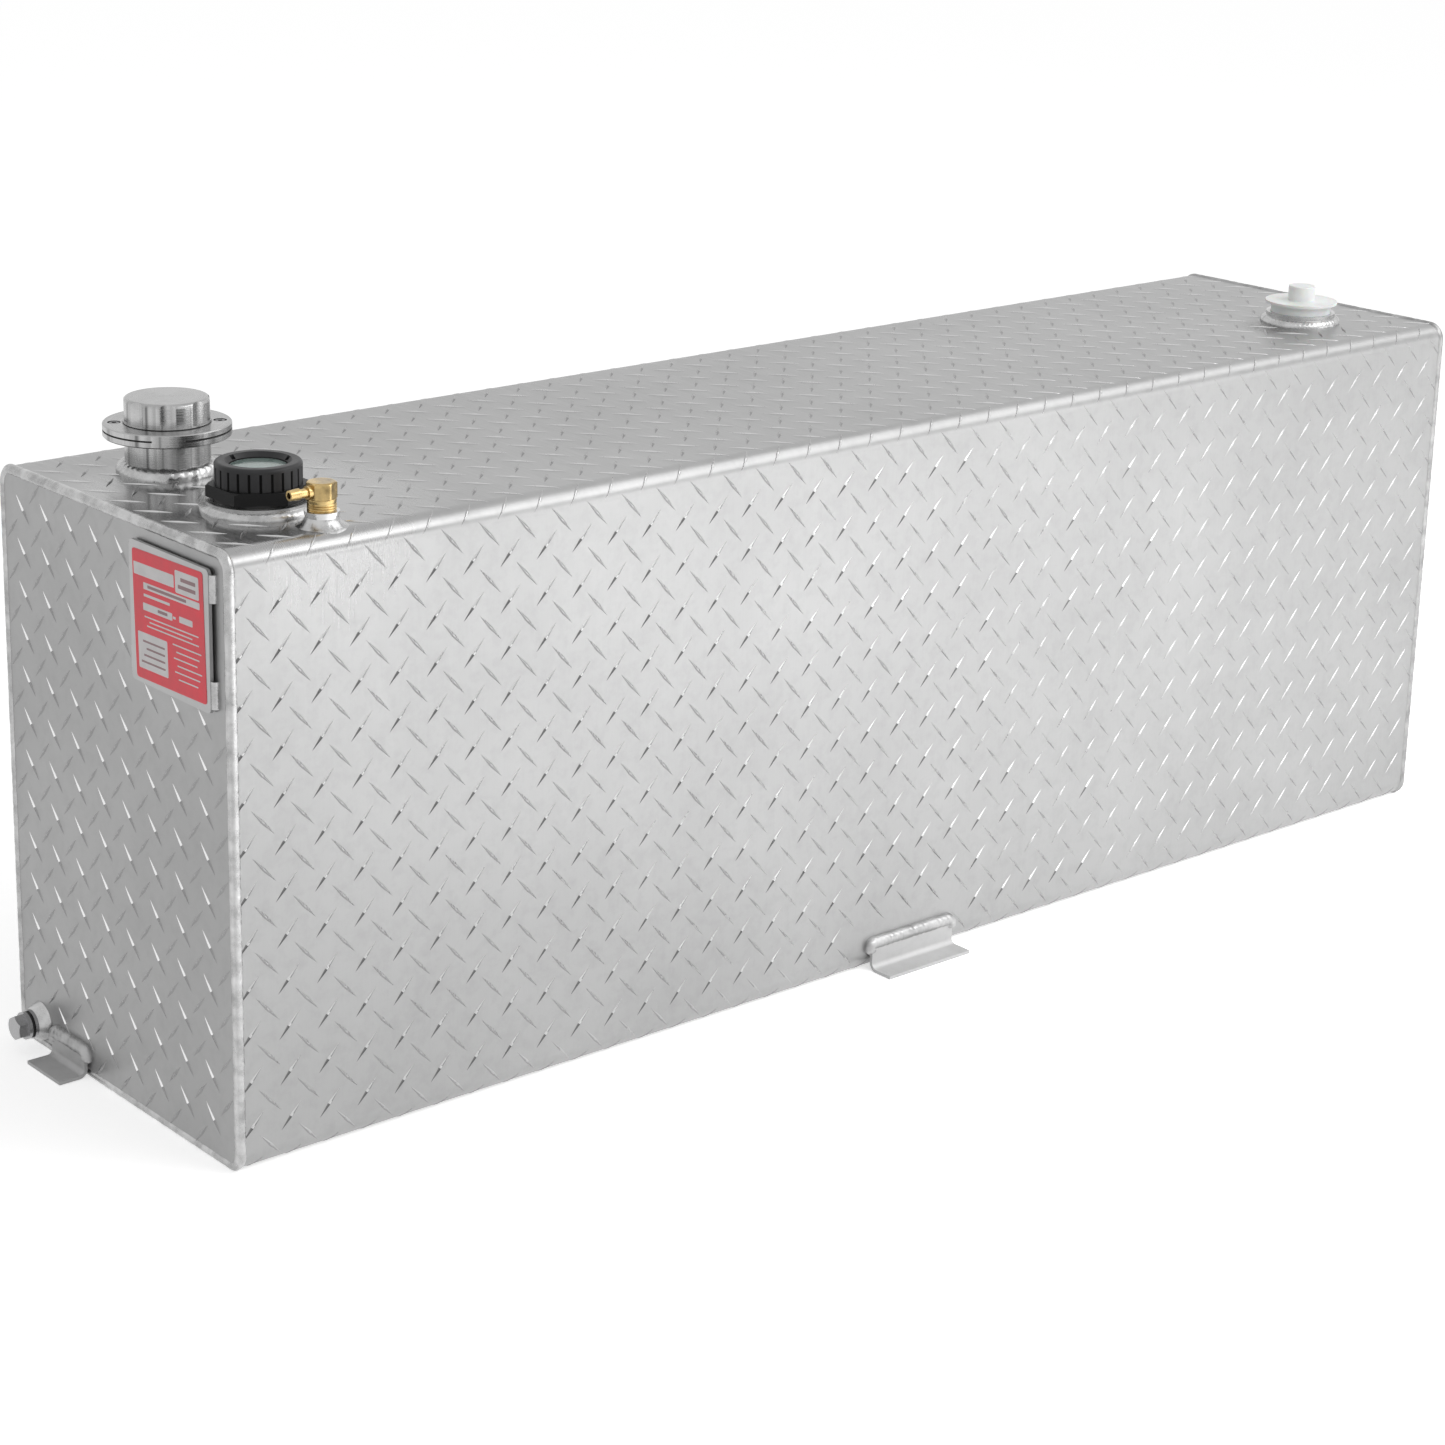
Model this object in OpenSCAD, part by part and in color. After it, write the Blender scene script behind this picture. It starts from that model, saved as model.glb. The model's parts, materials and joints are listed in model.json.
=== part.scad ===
// Truck bed transfer tank: a wrapped and welded tread-plate fuel tank with its fittings.
// Origin: the middle of the underside. +X runs to the pump end, +Y to the back, +Z up.

/* [Tank] */
// Length over the end plates
tank_l = 1460; // [1300:10:1800]
// Width from front to back
tank_w = 345; // [320:5:420]
// Height
tank_h = 508; // [460:4:560]
// Thickness of the sheet between its lugs
sheet_t = 3.2; // [2.6:0.1:4]
// Outer radius of the four long folds
bend_r = 16; // [12:1:20]
// How far an end plate's edge stands in from the wrap's outer face
end_inset = 2.2; // [1.6:0.1:2.4]
// Radius of the weld bead round an end plate
end_bead_r = 4.6; // [4.2:0.1:5]
// Height of the lengthwise seam above the underside
seam_z = 70; // [50:5:120]
// Width of the seam's gap
seam_gap = 2; // [1:0.5:3]

/* [Baffles] */
// Thickness of a baffle
baffle_t = 2.5; // [1.5:0.5:4]
// Width of a baffle's side flanges
baffle_flange = 18; // [12:1:30]
// Inner fold radius of a baffle
baffle_fold_r = 2; // [1:0.5:4]
// Edge cut from each corner of a baffle
baffle_clip = 45; // [30:5:70]
// Diameter of a baffle's middle hole
baffle_hole_d = 110; // [60:10:160]

/* [Fill neck and cap] */
// Distance of the neck's axis from the left end
fill_from_end = 98; // [90:1:140]
// Distance of the neck's axis from the front
fill_from_front = 242; // [235:1:255]
// Outer diameter of the neck
neck_d = 70; // [66:1:74]
// Bore of the neck and of the cap ring
neck_bore_d = 58; // [54:1:60]
// Height of the lower flange's underside above the top of the tank
neck_h = 30.6; // [26:0.2:36]
// Diameter of the two flanges
flange_d = 105; // [102:1:112]
// Thickness of the lower flange
flange_t = 5; // [4:0.5:7]
// Thickness of the gasket between the flanges
gasket_t = 1.5; // [1:0.25:3]
// Thickness of the cap ring
cap_ring_t = 4.5; // [4:0.5:6]
// Angle of the raised land that interrupts the gasket
land_angle = 30; // [20:5:40]
// Direction of the land, seen from above
land_dir = -120; // [-180:10:180]
// Diameter of a ring screw's shank
screw_d = 5; // [4:0.5:5]
// Diameter of a ring screw's head
screw_head_d = 8.5; // [8:0.5:9]
// Diameter of the counterbores for the screw heads
counterbore_d = 11; // [10:0.5:11.5]
// Outer diameter of the cap
cap_d = 70.6; // [68:0.2:74]
// Height of the cap above the ring
cap_h = 21; // [18:1:28]
// Radius of the cap's top edge
cap_edge_r = 3.5; // [2:0.5:5]
// Number of grip flutes
flutes = 8; // [6:1:12]
// Radius of the cutter that makes a flute
flute_r = 14; // [10:1:16]
// Depth of a flute
flute_depth = 2.2; // [1.5:0.1:3]
// Length of the cap's threaded spigot below the top of the ring
spigot_l = 12.7; // [10:0.1:18]
// Wall of the spigot
spigot_wall = 4.2; // [3:0.2:6]
// Width of the flat seal under the cap
cap_seal_w = 2.6; // [2:0.1:2.8]
// Thickness of the flat seal under the cap
cap_seal_t = 2; // [1.5:0.5:3]

/* [Float gauge] */
// Distance of the gauge's axis from the left end
gauge_from_end = 94.5; // [88:0.5:120]
// Distance of the gauge's axis from the front
gauge_from_front = 102; // [102:1:112]
// Outer diameter of the gauge's weld bung
gauge_bung_d = 84; // [80:1:86]
// Bore of the weld bung
gauge_bore_d = 60; // [56:1:64]
// Height of the weld bung above the tank
gauge_bung_h = 8; // [6:1:12]
// Distance across the flats of the gauge body's hexagon
gauge_flats = 72; // [66:1:74]
// Height of the gauge body's hexagon
gauge_hex_h = 10; // [8:0.5:14]
// Outer diameter of the lock ring
lock_ring_d = 69.4; // [68:0.2:72]
// Height of the lock ring
lock_ring_h = 18.5; // [15:0.5:20]
// Number of grooves in the lock ring's side
ring_grooves = 24; // [18:2:36]
// Diameter of a groove in the lock ring
groove_d = 2.4; // [1.8:0.2:3]
// Number of spanner notches in the lock ring's funnel
notches = 3; // [2:4]
// Width of a spanner notch
notch_w = 4.5; // [3:0.5:6]
// Diameter of the view through the lock ring, at the window
view_d = 45; // [40:1:48]
// Depth of the window below the top of the lock ring
window_depth = 4.5; // [3:0.5:6]
// Diameter of the window
window_d = 58; // [54:1:60]
// Thickness of the window
window_t = 2.5; // [2:0.5:4]
// Diameter of the float
float_d = 44; // [36:1:46]
// Height of the float
float_h = 46; // [30:1:60]
// Height of the float's underside above the tank's floor, when empty
float_low = 25; // [22:1:40]
// Distance that the float rises from empty to full
float_travel = 400; // [300:10:400]
// Turn of the strip over that distance, in degrees
strip_turn = 270; // [180:10:300]
// Width of the twisted strip
strip_w = 7; // [5:0.5:8]
// Thickness of the twisted strip
strip_t = 0.8; // [0.6:0.1:1.2]
// Diameter of a guide rod
guide_rod_d = 4; // [3:0.5:5]
// Distance of a guide rod from the gauge's axis
guide_rod_r = 16; // [14:0.5:17]

/* [Vent] */
// Distance of the vent's axis from the left end
vent_from_end = 104.5; // [96:0.5:120]
// Distance of the vent's axis from the front
vent_from_front = 29; // [28:1:32]
// Diameter of the vent bung
vent_bung_d = 26.5; // [26:0.5:30]
// Diameter of the vent bung's top rim
vent_rim_d = 28; // [27:0.5:35]
// Height of the vent bung above the tank
vent_bung_h = 12; // [11:0.2:16]
// Diameter of the elbow's threaded end
elbow_thread_d = 21.3; // [19:0.1:23]
// Distance across the corners of the elbow's hexagon
elbow_hex_d = 25; // [24:0.5:28]
// Height of the elbow's hexagon
elbow_hex_h = 13; // [11:0.5:15]
// Diameter of the hose barb's ridge
barb_d = 9.4; // [8.6:0.2:10]
// Length of the hose barb from the elbow's axis
barb_l = 30; // [26:1:34]
// Diameter of the vent's bore
vent_bore_d = 5; // [3:0.5:6]

/* [Pump opening] */
// Distance of the pump opening's axis from the right end
pump_from_end = 106; // [90:1:140]
// Distance of the pump opening's axis from the front
pump_from_front = 100; // [90:1:120]
// Bore of the pump bung
pump_bore_d = 60.4; // [56:0.1:64]
// Outer diameter of the pump bung
pump_bung_d = 69; // [68:1:72]
// Height of the pump bung above the tank
pump_bung_h = 10.4; // [8:0.2:14]
// Diameter of the transport plug's flange
plug_flange_d = 72; // [70:1:78]
// Thickness of the transport plug's flange
plug_flange_t = 2.6; // [2:0.2:4]
// Length of the thread left showing under the plug's flange
plug_show = 9; // [6:1:12]
// Length of the transport plug's threaded wall
plug_wall_l = 24; // [20:1:30]
// Diameter of the transport plug's grip
plug_grip_d = 27; // [24:1:32]
// Height of the transport plug's grip
plug_grip_h = 15; // [12:1:20]
// Wall of the transport plug
plug_wall = 2.6; // [2:0.2:3]

/* [Drain] */
// Distance of the drain's axis from the back
drain_from_back = 35; // [32:1:40]
// Height of the drain's axis above the underside
drain_z = 23; // [23:1:26]
// Outer diameter of the drain boss
drain_boss_d = 25; // [23:1:26]
// Length of the boss outside the end plate
drain_boss_l = 12.5; // [10:0.5:18]
// Bore of the drain boss
drain_bore_d = 14.6; // [12:0.2:16]
// Distance across the flats of the drain plug
drain_flats = 19; // [17:1:21]
// Height of the drain plug's hexagon
drain_hex_h = 9; // [7:1:12]
// Thickness of the drain plug's flange
drain_flange_t = 3; // [2:0.5:4]
// Thickness of the drain's sealing washer
drain_seal_t = 2; // [1.5:0.5:3]
// Length of the drain plug's shank inside the boss
drain_shank_l = 10.5; // [8:0.5:14]

/* [Feet] */
// Thickness of a foot
foot_t = 3; // [2.5:0.5:5]
// Inner fold radius of a foot
foot_fold_r = 5; // [3:1:8]
// Height of the front foot's upright leg
front_foot_h = 26; // [22:1:40]
// Height of an end foot's upright leg
end_foot_h = 23; // [22:1:40]
// Reach of a foot from the tank's face
foot_reach = 29; // [25:1:45]
// Space between a foot's upright leg and the tank's face
foot_gap = 2; // [2:0.2:3]
// Width of the front foot
front_foot_w = 102; // [80:2:140]
// Width of each end foot
end_foot_w = 54; // [50:2:56]
// Distance of an end foot's middle from the back
end_foot_from_back = 87; // [84:1:120]
// Radius of the feet's weld beads
foot_bead_r = 6; // [5:0.2:6.4]
// How far a foot's bead turns down its sides
foot_bead_turn = 7; // [5:1:9]

/* [Label plate] */
// Side of the square label plate
plate_side = 114; // [100:2:114]
// Thickness of the label plate
plate_t = 3; // [2:0.5:4]
// Space between the plate and the end of the tank
plate_gap = 2; // [1.5:0.5:3]
// Distance of the plate's middle from the front
plate_from_front = 76.5; // [74:0.5:100]
// Distance of the plate's middle below the top
plate_below_top = 72.5; // [70:0.5:120]
// Length of a tack weld on the plate's edge
tack_l = 22; // [15:1:30]
// Width of the label
label_w = 101.6; // [90:0.2:102]
// Height of the label
label_h = 104; // [90:1:104]
// Thickness of the label
label_t = 0.3; // [0.2:0.1:0.5]
// Tilt of the label on its plate
label_tilt = 1.5; // [0:0.5:2]

/* [Clearances] */
// Gap between parts that turn or slide on each other
run_gap = 0.3; // [0.2:0.05:0.4]
// Gap round a piece that hangs loosely on a rod or strip
loose_gap = 0.5; // [0.4:0.1:0.8]

/* [Hidden] */
$fn = 96;
eps = 0.01;
over = 20;
wrap_l = tank_l - 2 * sheet_t;
inner_w = tank_w - 2 * sheet_t;
inner_r = bend_r - sheet_t;
baffle_x = tank_l / 6;

end_bead_d = -2.9;
end_bead_a = 0.3;
seam_bead_r = 6;
seam_bead_proud = 1.6;
seam_bead_end = 8;
bung_below = 8;

fill_at = [fill_from_end - tank_l / 2, fill_from_front - tank_w / 2];
neck_bead_r = 7.5;
neck_bead_z = 3;
flange_bottom = tank_h + neck_h;
flange_top = flange_bottom + flange_t;
ring_bottom = flange_top + gasket_t;
ring_top = ring_bottom + cap_ring_t;
gasket_clear = 1;
gasket_bore_d = neck_bore_d + 2 * gasket_clear;
screw_circle_r = (neck_bore_d + flange_d) / 4 + 2;
screw_dirs = [land_dir - 90, land_dir + 90];
screw_head_h = 2.6;
screw_seat = 1.6;
spigot_d = neck_bore_d - 2 * run_gap;
cap_bottom = ring_top + 2 * run_gap;
cap_top = ring_top + cap_h;
cap_rim_h = 1.3;
cap_rim_d = cap_d + 1.2;
cap_roof_t = 5;
cap_seal_r = neck_bore_d / 2 + 0.4;
cap_seal_bottom = ring_top + run_gap;

gauge_at = [gauge_from_end - tank_l / 2, gauge_from_front - tank_w / 2];
gauge_seal_t = 2;
gauge_bead_r = 6;
gauge_hex_bottom = tank_h + gauge_bung_h + gauge_seal_t;
cup_bottom = gauge_hex_bottom + gauge_hex_h;
lock_ring_top = cup_bottom + lock_ring_h;
window_bottom = lock_ring_top - window_depth - window_t;
cup_d = lock_ring_d - 6;
cup_floor = window_bottom - 6;
cup_cavity_d = window_d - 6;
cup_floor_t = 4;
gauge_sleeve_d = gauge_bore_d - 0.4;
gauge_sleeve_l = 20;
gauge_sleeve_bore_d = 2 * guide_rod_r + guide_rod_d + 4;
cup_floor_under = cup_floor - cup_floor_t;
notch_dir = -10;
dial_t = 0.8;
pointer_z = cup_floor + dial_t + 0.8;
pointer_t = 0.8;
pointer_l = 21;
spindle_d = 3;
float_bottom = sheet_t + float_low;
float_top = float_bottom + float_h;
float_bore_d = strip_w + 4 * loose_gap;
key_t = 1;
key_d = strip_w + 9;
guide_foot_t = 3;
guide_foot_bottom = sheet_t + 8;
strip_bottom = guide_foot_bottom + guide_foot_t + 1;
strip_top = cup_floor_under - 1;
strip_rate = strip_turn / float_travel;
strip_slices = 48;
key_angle = strip_rate * (float_top + key_t / 2 - strip_bottom);

vent_at = [vent_from_end - tank_l / 2, vent_from_front - tank_w / 2];
vent_bead_r = 9;
elbow_collar_h = 5;
elbow_thread_show = 5;
elbow_collar_d = elbow_thread_d + 0.5;
elbow_hex_z = tank_h + vent_bung_h + elbow_thread_show + elbow_collar_h;
barb_z = elbow_hex_z + elbow_hex_h * 0.42;
barb_neck_d = barb_d - 2;
barb_root_d = barb_d + 1.4;
barb_tip_d = barb_d - 1.2;

pump_at = [tank_l / 2 - pump_from_end, pump_from_front - tank_w / 2];
pump_bead_r = 6;
plug_thread_d = pump_bore_d - 2 * run_gap;
plug_flange_z = tank_h + pump_bung_h + plug_show;

drain_y = tank_w / 2 - drain_from_back;
drain_flare_w = 5;
drain_flare_h = 9.5;
corner_leg = end_bead_r - end_bead_d + 0.1;
drain_shank_d = drain_bore_d - 2 * run_gap;
drain_face = drain_boss_l;
drain_seal_x = drain_face + run_gap;
drain_flange_x = drain_seal_x + drain_seal_t + run_gap;
drain_hex_x = drain_flange_x + drain_flange_t;
drain_seal_bore_d = drain_shank_d + 2 * run_gap;

end_foot_y = min(tank_w / 2 - end_foot_from_back,
    drain_y - drain_boss_d / 2 - drain_flare_w - foot_bead_r - end_foot_w / 2 - 0.6);
plate_at = [plate_from_front - tank_w / 2, tank_h - plate_below_top];
plate_corner_r = 4;
label_corner_r = 3;

plate_metal = [0.78, 0.79, 0.80];
bright_metal = [0.84, 0.85, 0.86];
weld_metal = [0.70, 0.71, 0.72];
brass_metal = [0.80, 0.62, 0.30];
black_plastic = [0.07, 0.07, 0.08];
black_rubber = [0.05, 0.05, 0.05];

// A rectangle with rounded corners, about the origin
module rounded_rect(w, h, r) {
    square([w - 2 * r, h], center = true);
    square([w, h - 2 * r], center = true);
    for (sx = [-1, 1], sy = [-1, 1])
        translate([sx * (w / 2 - r), sy * (h / 2 - r)]) circle(r);
}

// An outline drawn in Y and Z, made solid along X
module along_x(x, l) {
    translate([x, 0, 0]) rotate([90, 0, 90]) linear_extrude(l) children();
}

// The outside of the wrap, or what lies a distance inside it
module tank_outline(inset) {
    translate([0, tank_h / 2])
        rounded_rect(tank_w - 2 * inset, tank_h - 2 * inset, bend_r - inset);
}

// A section carried round a rounded rectangle: its x points outward, its y along the axis
module carry_round(w, h, r) {
    for (i = [0:3]) rotate(90 * i) {
        half = i % 2 == 0 ? w / 2 : h / 2;
        side = i % 2 == 0 ? h : w;
        translate([half, 0, 0]) rotate([90, 0, 0])
            linear_extrude(side - 2 * r, center = true) children();
        translate([half - r, side / 2 - r, 0])
            rotate_extrude(angle = 90) translate([r, 0]) children();
    }
}

// What is drawn at the right end, turned to either end
module at_end(side) {
    if (side > 0) children();
    else mirror([1, 0, 0]) children();
}

// A weld bead round a tube that stands on the top plate
module tube_bead(at, tube_r, bead_r, rise) {
    translate([at[0], at[1], tank_h]) rotate_extrude() difference() {
        translate([tube_r, rise]) circle(bead_r);
        translate([-over, -over]) square([tube_r + over, 3 * over]);
        translate([-over, -over]) square([tube_r + 3 * over, over]);
    }
}

module tank_wrap() {
    color(plate_metal) difference() {
        along_x(-wrap_l / 2, wrap_l) difference() {
            tank_outline(0);
            tank_outline(sheet_t);
        }
        translate([-wrap_l / 2 - over, tank_w / 2 - sheet_t - over, seam_z - seam_gap / 2])
            cube([wrap_l + 2 * over, 2 * over, seam_gap]);
        for (hole = [[fill_at, neck_d], [gauge_at, gauge_bung_d], [vent_at, vent_bung_d],
                [pump_at, pump_bung_d]])
            translate([hole[0][0], hole[0][1], tank_h - over]) cylinder(d = hole[1], h = 2 * over);
    }
}

module seam_weld() {
    color(weld_metal) {
        along_x(-wrap_l / 2, wrap_l)
            translate([tank_w / 2 - sheet_t, seam_z - seam_gap / 2]) square([sheet_t, seam_gap]);
        along_x(-wrap_l / 2 + seam_bead_end, wrap_l - 2 * seam_bead_end) difference() {
            translate([tank_w / 2 + seam_bead_proud - seam_bead_r, seam_z]) circle(seam_bead_r);
            translate([tank_w / 2 - 2 * over, seam_z - over]) square([2 * over, 2 * over]);
        }
    }
}

module end_cap(side) {
    color(plate_metal) at_end(side) difference() {
        along_x(wrap_l / 2, sheet_t) tank_outline(end_inset);
        if (side < 0) translate([wrap_l / 2 - over, drain_y, drain_z])
            rotate([0, 90, 0]) cylinder(d = drain_boss_d, h = 2 * over);
    }
}
module end_cap_left() { end_cap(-1); }
module end_cap_right() { end_cap(1); }

// The bead lies over the wrap's edge and the end plate's edge, and is dressed flat underneath
module end_weld(side) {
    color(weld_metal) at_end(side) difference() {
        translate([wrap_l / 2, 0, tank_h / 2]) rotate([90, 0, 90])
            carry_round(tank_w, tank_h, bend_r) difference() {
                translate([end_bead_d, end_bead_a]) circle(end_bead_r);
                translate([-over, -over]) square([over, over]);
                translate([-over, -over]) square([over - end_inset, over + sheet_t]);
            }
        translate([wrap_l / 2 - over, -tank_w, -over]) cube([2 * over, 2 * tank_w, over]);
    }
}
module end_weld_left() { end_weld(-1); }
module end_weld_right() { end_weld(1); }

// A baffle seen from above: a web with a flange folded at each side
module baffle_plan() {
    fold_out = baffle_fold_r + baffle_t;
    translate([0, fold_out - inner_w / 2]) square([baffle_t, inner_w - 2 * fold_out]);
    for (s = [-1, 1]) {
        translate([fold_out, s * (inner_w / 2 - fold_out)]) difference() {
            circle(fold_out);
            circle(baffle_fold_r);
            translate([0, -over]) square([over, 2 * over]);
            translate([-over, s > 0 ? -over : 0]) square([2 * over, over]);
        }
        translate([fold_out, s * (inner_w / 2 - baffle_t / 2) - baffle_t / 2])
            square([baffle_flange - fold_out, baffle_t]);
    }
}

module baffle(x) {
    color(bright_metal) translate([x, 0, 0]) difference() {
        translate([0, 0, sheet_t]) linear_extrude(tank_h - 2 * sheet_t) baffle_plan();
        for (sy = [-1, 1], top = [0, 1])
            translate([-over, sy * inner_w / 2, top == 1 ? tank_h - sheet_t : sheet_t])
                rotate([45, 0, 0]) translate([0, -baffle_clip / 2, -baffle_clip / 2])
                    cube([3 * over, baffle_clip, baffle_clip]);
        translate([-over, 0, tank_h / 2]) rotate([0, 90, 0]) cylinder(d = baffle_hole_d, h = 2 * over);
    }
}
module baffle_left() { baffle(-baffle_x); }
module baffle_right() { baffle(baffle_x); }

module fill_neck() {
    lip_t = 3;
    color(bright_metal) difference() {
        translate([fill_at[0], fill_at[1], 0]) union() {
            rotate_extrude() polygon([[neck_bore_d / 2, tank_h - bung_below],
                [neck_d / 2, tank_h - bung_below], [neck_d / 2, flange_bottom - lip_t],
                [neck_d / 2 + 1.5, flange_bottom - lip_t], [neck_d / 2 + 1.5, flange_bottom],
                [flange_d / 2 - 1, flange_bottom], [flange_d / 2, flange_bottom + 1],
                [flange_d / 2, flange_top], [neck_bore_d / 2, flange_top]]);
            rotate([0, 0, land_dir - land_angle / 2]) rotate_extrude(angle = land_angle)
                translate([gasket_bore_d / 2, flange_top - eps])
                    square([(flange_d - gasket_bore_d) / 2, gasket_t + eps]);
        }
        ring_screw_places(flange_bottom - eps) cylinder(d = screw_d, h = 2 * flange_t);
    }
}

module fill_neck_weld() {
    color(weld_metal) tube_bead(fill_at, neck_d / 2, neck_bead_r, neck_bead_z);
}

// Where the two ring screws stand
module ring_screw_places(z) {
    translate([fill_at[0], fill_at[1], z]) for (dir = screw_dirs)
        rotate([0, 0, dir]) translate([screw_circle_r, 0, 0]) children();
}

module neck_gasket() {
    open_angle = land_angle + 2;
    color(black_rubber) difference() {
        translate([fill_at[0], fill_at[1], flange_top]) rotate([0, 0, land_dir + open_angle / 2])
            rotate_extrude(angle = 360 - open_angle)
                translate([gasket_bore_d / 2, 0]) square([(flange_d - gasket_bore_d) / 2 - 1, gasket_t]);
        ring_screw_places(flange_top - over) cylinder(d = screw_d, h = 2 * over);
    }
}

module cap_ring() {
    edge = 0.8;
    color(bright_metal) difference() {
        translate([fill_at[0], fill_at[1], 0]) rotate_extrude() polygon([
            [neck_bore_d / 2, ring_bottom], [flange_d / 2, ring_bottom], [flange_d / 2, ring_top - edge],
            [flange_d / 2 - edge, ring_top], [neck_bore_d / 2, ring_top]]);
        ring_screw_places(ring_bottom - over) cylinder(d = screw_d, h = 2 * over);
        ring_screw_places(ring_bottom + screw_seat) cylinder(d = counterbore_d, h = over);
    }
}

module ring_screws() {
    socket_af = screw_head_d * 0.5;
    color([0.25, 0.25, 0.26]) ring_screw_places(flange_bottom) difference() {
        seat = ring_bottom + screw_seat - flange_bottom;
        union() {
            cylinder(d = screw_d, h = seat + eps);
            translate([0, 0, seat]) cylinder(d = screw_head_d, h = screw_head_h);
        }
        translate([0, 0, seat + screw_head_h / 2]) cylinder(d = socket_af, h = over, $fn = 6);
    }
}

module cap_seal() {
    color(black_rubber) translate([fill_at[0], fill_at[1], cap_seal_bottom])
        rotate_extrude() translate([cap_seal_r, 0]) square([cap_seal_w, cap_seal_t]);
}

// Turned cap with a rounded top edge, vertical grip flutes and a threaded spigot
module fill_cap() {
    seal_roof = cap_seal_bottom + cap_seal_t + run_gap;
    color(bright_metal) translate([fill_at[0], fill_at[1], 0]) difference() {
        union() {
            difference() {
                rotate_extrude() {
                    translate([0, cap_bottom]) square([cap_d / 2, cap_top - cap_edge_r - cap_bottom]);
                    translate([0, cap_bottom]) square([cap_d / 2 - cap_edge_r, cap_top - cap_bottom]);
                    translate([cap_d / 2 - cap_edge_r, cap_top - cap_edge_r]) circle(cap_edge_r);
                }
                for (i = [0:flutes - 1]) rotate([0, 0, land_dir + 360 * i / flutes])
                    translate([cap_d / 2 + flute_r - flute_depth, 0, cap_bottom - eps])
                        cylinder(r = flute_r, h = cap_h + over);
            }
            translate([0, 0, cap_bottom]) cylinder(d = cap_rim_d, h = cap_rim_h);
            translate([0, 0, ring_top - spigot_l]) cylinder(d = spigot_d, h = spigot_l + cap_roof_t);
        }
        translate([0, 0, ring_top - spigot_l - eps])
            cylinder(d = spigot_d - 2 * spigot_wall, h = spigot_l + cap_h - cap_roof_t);
        translate([0, 0, cap_bottom - over]) difference() {
            cylinder(r = cap_seal_r + cap_seal_w + run_gap, h = seal_roof - cap_bottom + over);
            translate([0, 0, -eps]) cylinder(d = spigot_d, h = seal_roof - cap_bottom + over + 2 * eps);
        }
    }
}

module gauge_bung() {
    color(bright_metal) translate([gauge_at[0], gauge_at[1], tank_h - bung_below]) difference() {
        cylinder(d = gauge_bung_d, h = bung_below + gauge_bung_h);
        translate([0, 0, -eps]) cylinder(d = gauge_bore_d, h = 3 * over);
    }
}

module gauge_bung_weld() {
    color(weld_metal) tube_bead(gauge_at, gauge_bung_d / 2, gauge_bead_r, 0);
}

module gauge_seal() {
    color(black_rubber) translate([gauge_at[0], gauge_at[1], tank_h + gauge_bung_h]) difference() {
        cylinder(d = gauge_flats, h = gauge_seal_t);
        translate([0, 0, -eps]) cylinder(d = gauge_bore_d, h = 2 * gauge_seal_t);
    }
}

// Threaded sleeve, hexagon, and the cup that holds dial and window
module gauge_body() {
    hex_d = gauge_flats / cos(30);
    color(black_plastic) translate([gauge_at[0], gauge_at[1], 0]) difference() {
        union() {
            translate([0, 0, gauge_hex_bottom - gauge_sleeve_l])
                cylinder(d = gauge_sleeve_d, h = gauge_sleeve_l + eps);
            intersection() {
                translate([0, 0, gauge_hex_bottom]) rotate([0, 0, 30])
                    cylinder(d = hex_d, h = gauge_hex_h, $fn = 6);
                translate([0, 0, gauge_hex_bottom]) rotate_extrude() polygon([[0, 0],
                    [hex_d / 2, 0], [hex_d / 2, gauge_hex_h - 1.5],
                    [hex_d / 2 - 2.5, gauge_hex_h], [0, gauge_hex_h]]);
            }
            translate([0, 0, cup_bottom - eps]) cylinder(d = cup_d, h = window_bottom - cup_bottom + eps);
        }
        translate([0, 0, gauge_hex_bottom - gauge_sleeve_l - eps])
            cylinder(d = gauge_sleeve_bore_d, h = cup_floor_under - gauge_hex_bottom + gauge_sleeve_l + eps);
        translate([0, 0, cup_floor]) cylinder(d = cup_cavity_d, h = over);
        translate([0, 0, cup_floor_under - over]) cylinder(d = spindle_d + 2 * run_gap, h = 2 * over);
    }
}

// Ring with a funnel down to the window, grip grooves and spanner notches
module gauge_lock_ring() {
    r = lock_ring_d / 2;
    shoulder = 3;
    rim = 5;
    lip_z = window_bottom + window_t;
    color(black_plastic) translate([gauge_at[0], gauge_at[1], 0]) difference() {
        rotate_extrude() union() {
            difference() {
                translate([0, cup_bottom]) square([r - shoulder, lock_ring_h]);
                translate([-eps, cup_bottom - eps]) square([cup_d / 2 + run_gap + eps, lip_z - cup_bottom + eps]);
                polygon([[0, lip_z - eps], [view_d / 2, lip_z - eps], [r - shoulder - rim, lock_ring_top],
                    [r - shoulder - rim, lock_ring_top + 1], [0, lock_ring_top + 1]]);
            }
            translate([cup_d / 2 + run_gap, cup_bottom])
                square([r - cup_d / 2 - run_gap, lock_ring_h - shoulder]);
            translate([r - shoulder, lock_ring_top - shoulder]) circle(shoulder);
        }
        for (i = [0:ring_grooves - 1]) rotate([0, 0, 360 * i / ring_grooves])
            translate([r + groove_d / 8, 0, cup_bottom - eps])
                cylinder(d = groove_d, h = lock_ring_h - shoulder - 1, $fn = 32);
        for (i = [0:notches - 1]) rotate([0, 0, notch_dir + 360 * i / notches])
            translate([view_d / 2 - 1, -notch_w / 2, lip_z + 1]) cube([5, notch_w, over]);
    }
}

module gauge_window() {
    color([0.75, 0.83, 0.80, 0.5]) translate([gauge_at[0], gauge_at[1], window_bottom])
        cylinder(d = window_d, h = window_t);
}

module gauge_dial() {
    color([0.80, 0.86, 0.82]) translate([gauge_at[0], gauge_at[1], cup_floor]) difference() {
        cylinder(d = cup_cavity_d - 0.4, h = dial_t);
        translate([0, 0, -eps]) cylinder(d = spindle_d + 2 * run_gap, h = 2 * dial_t);
    }
}

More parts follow.
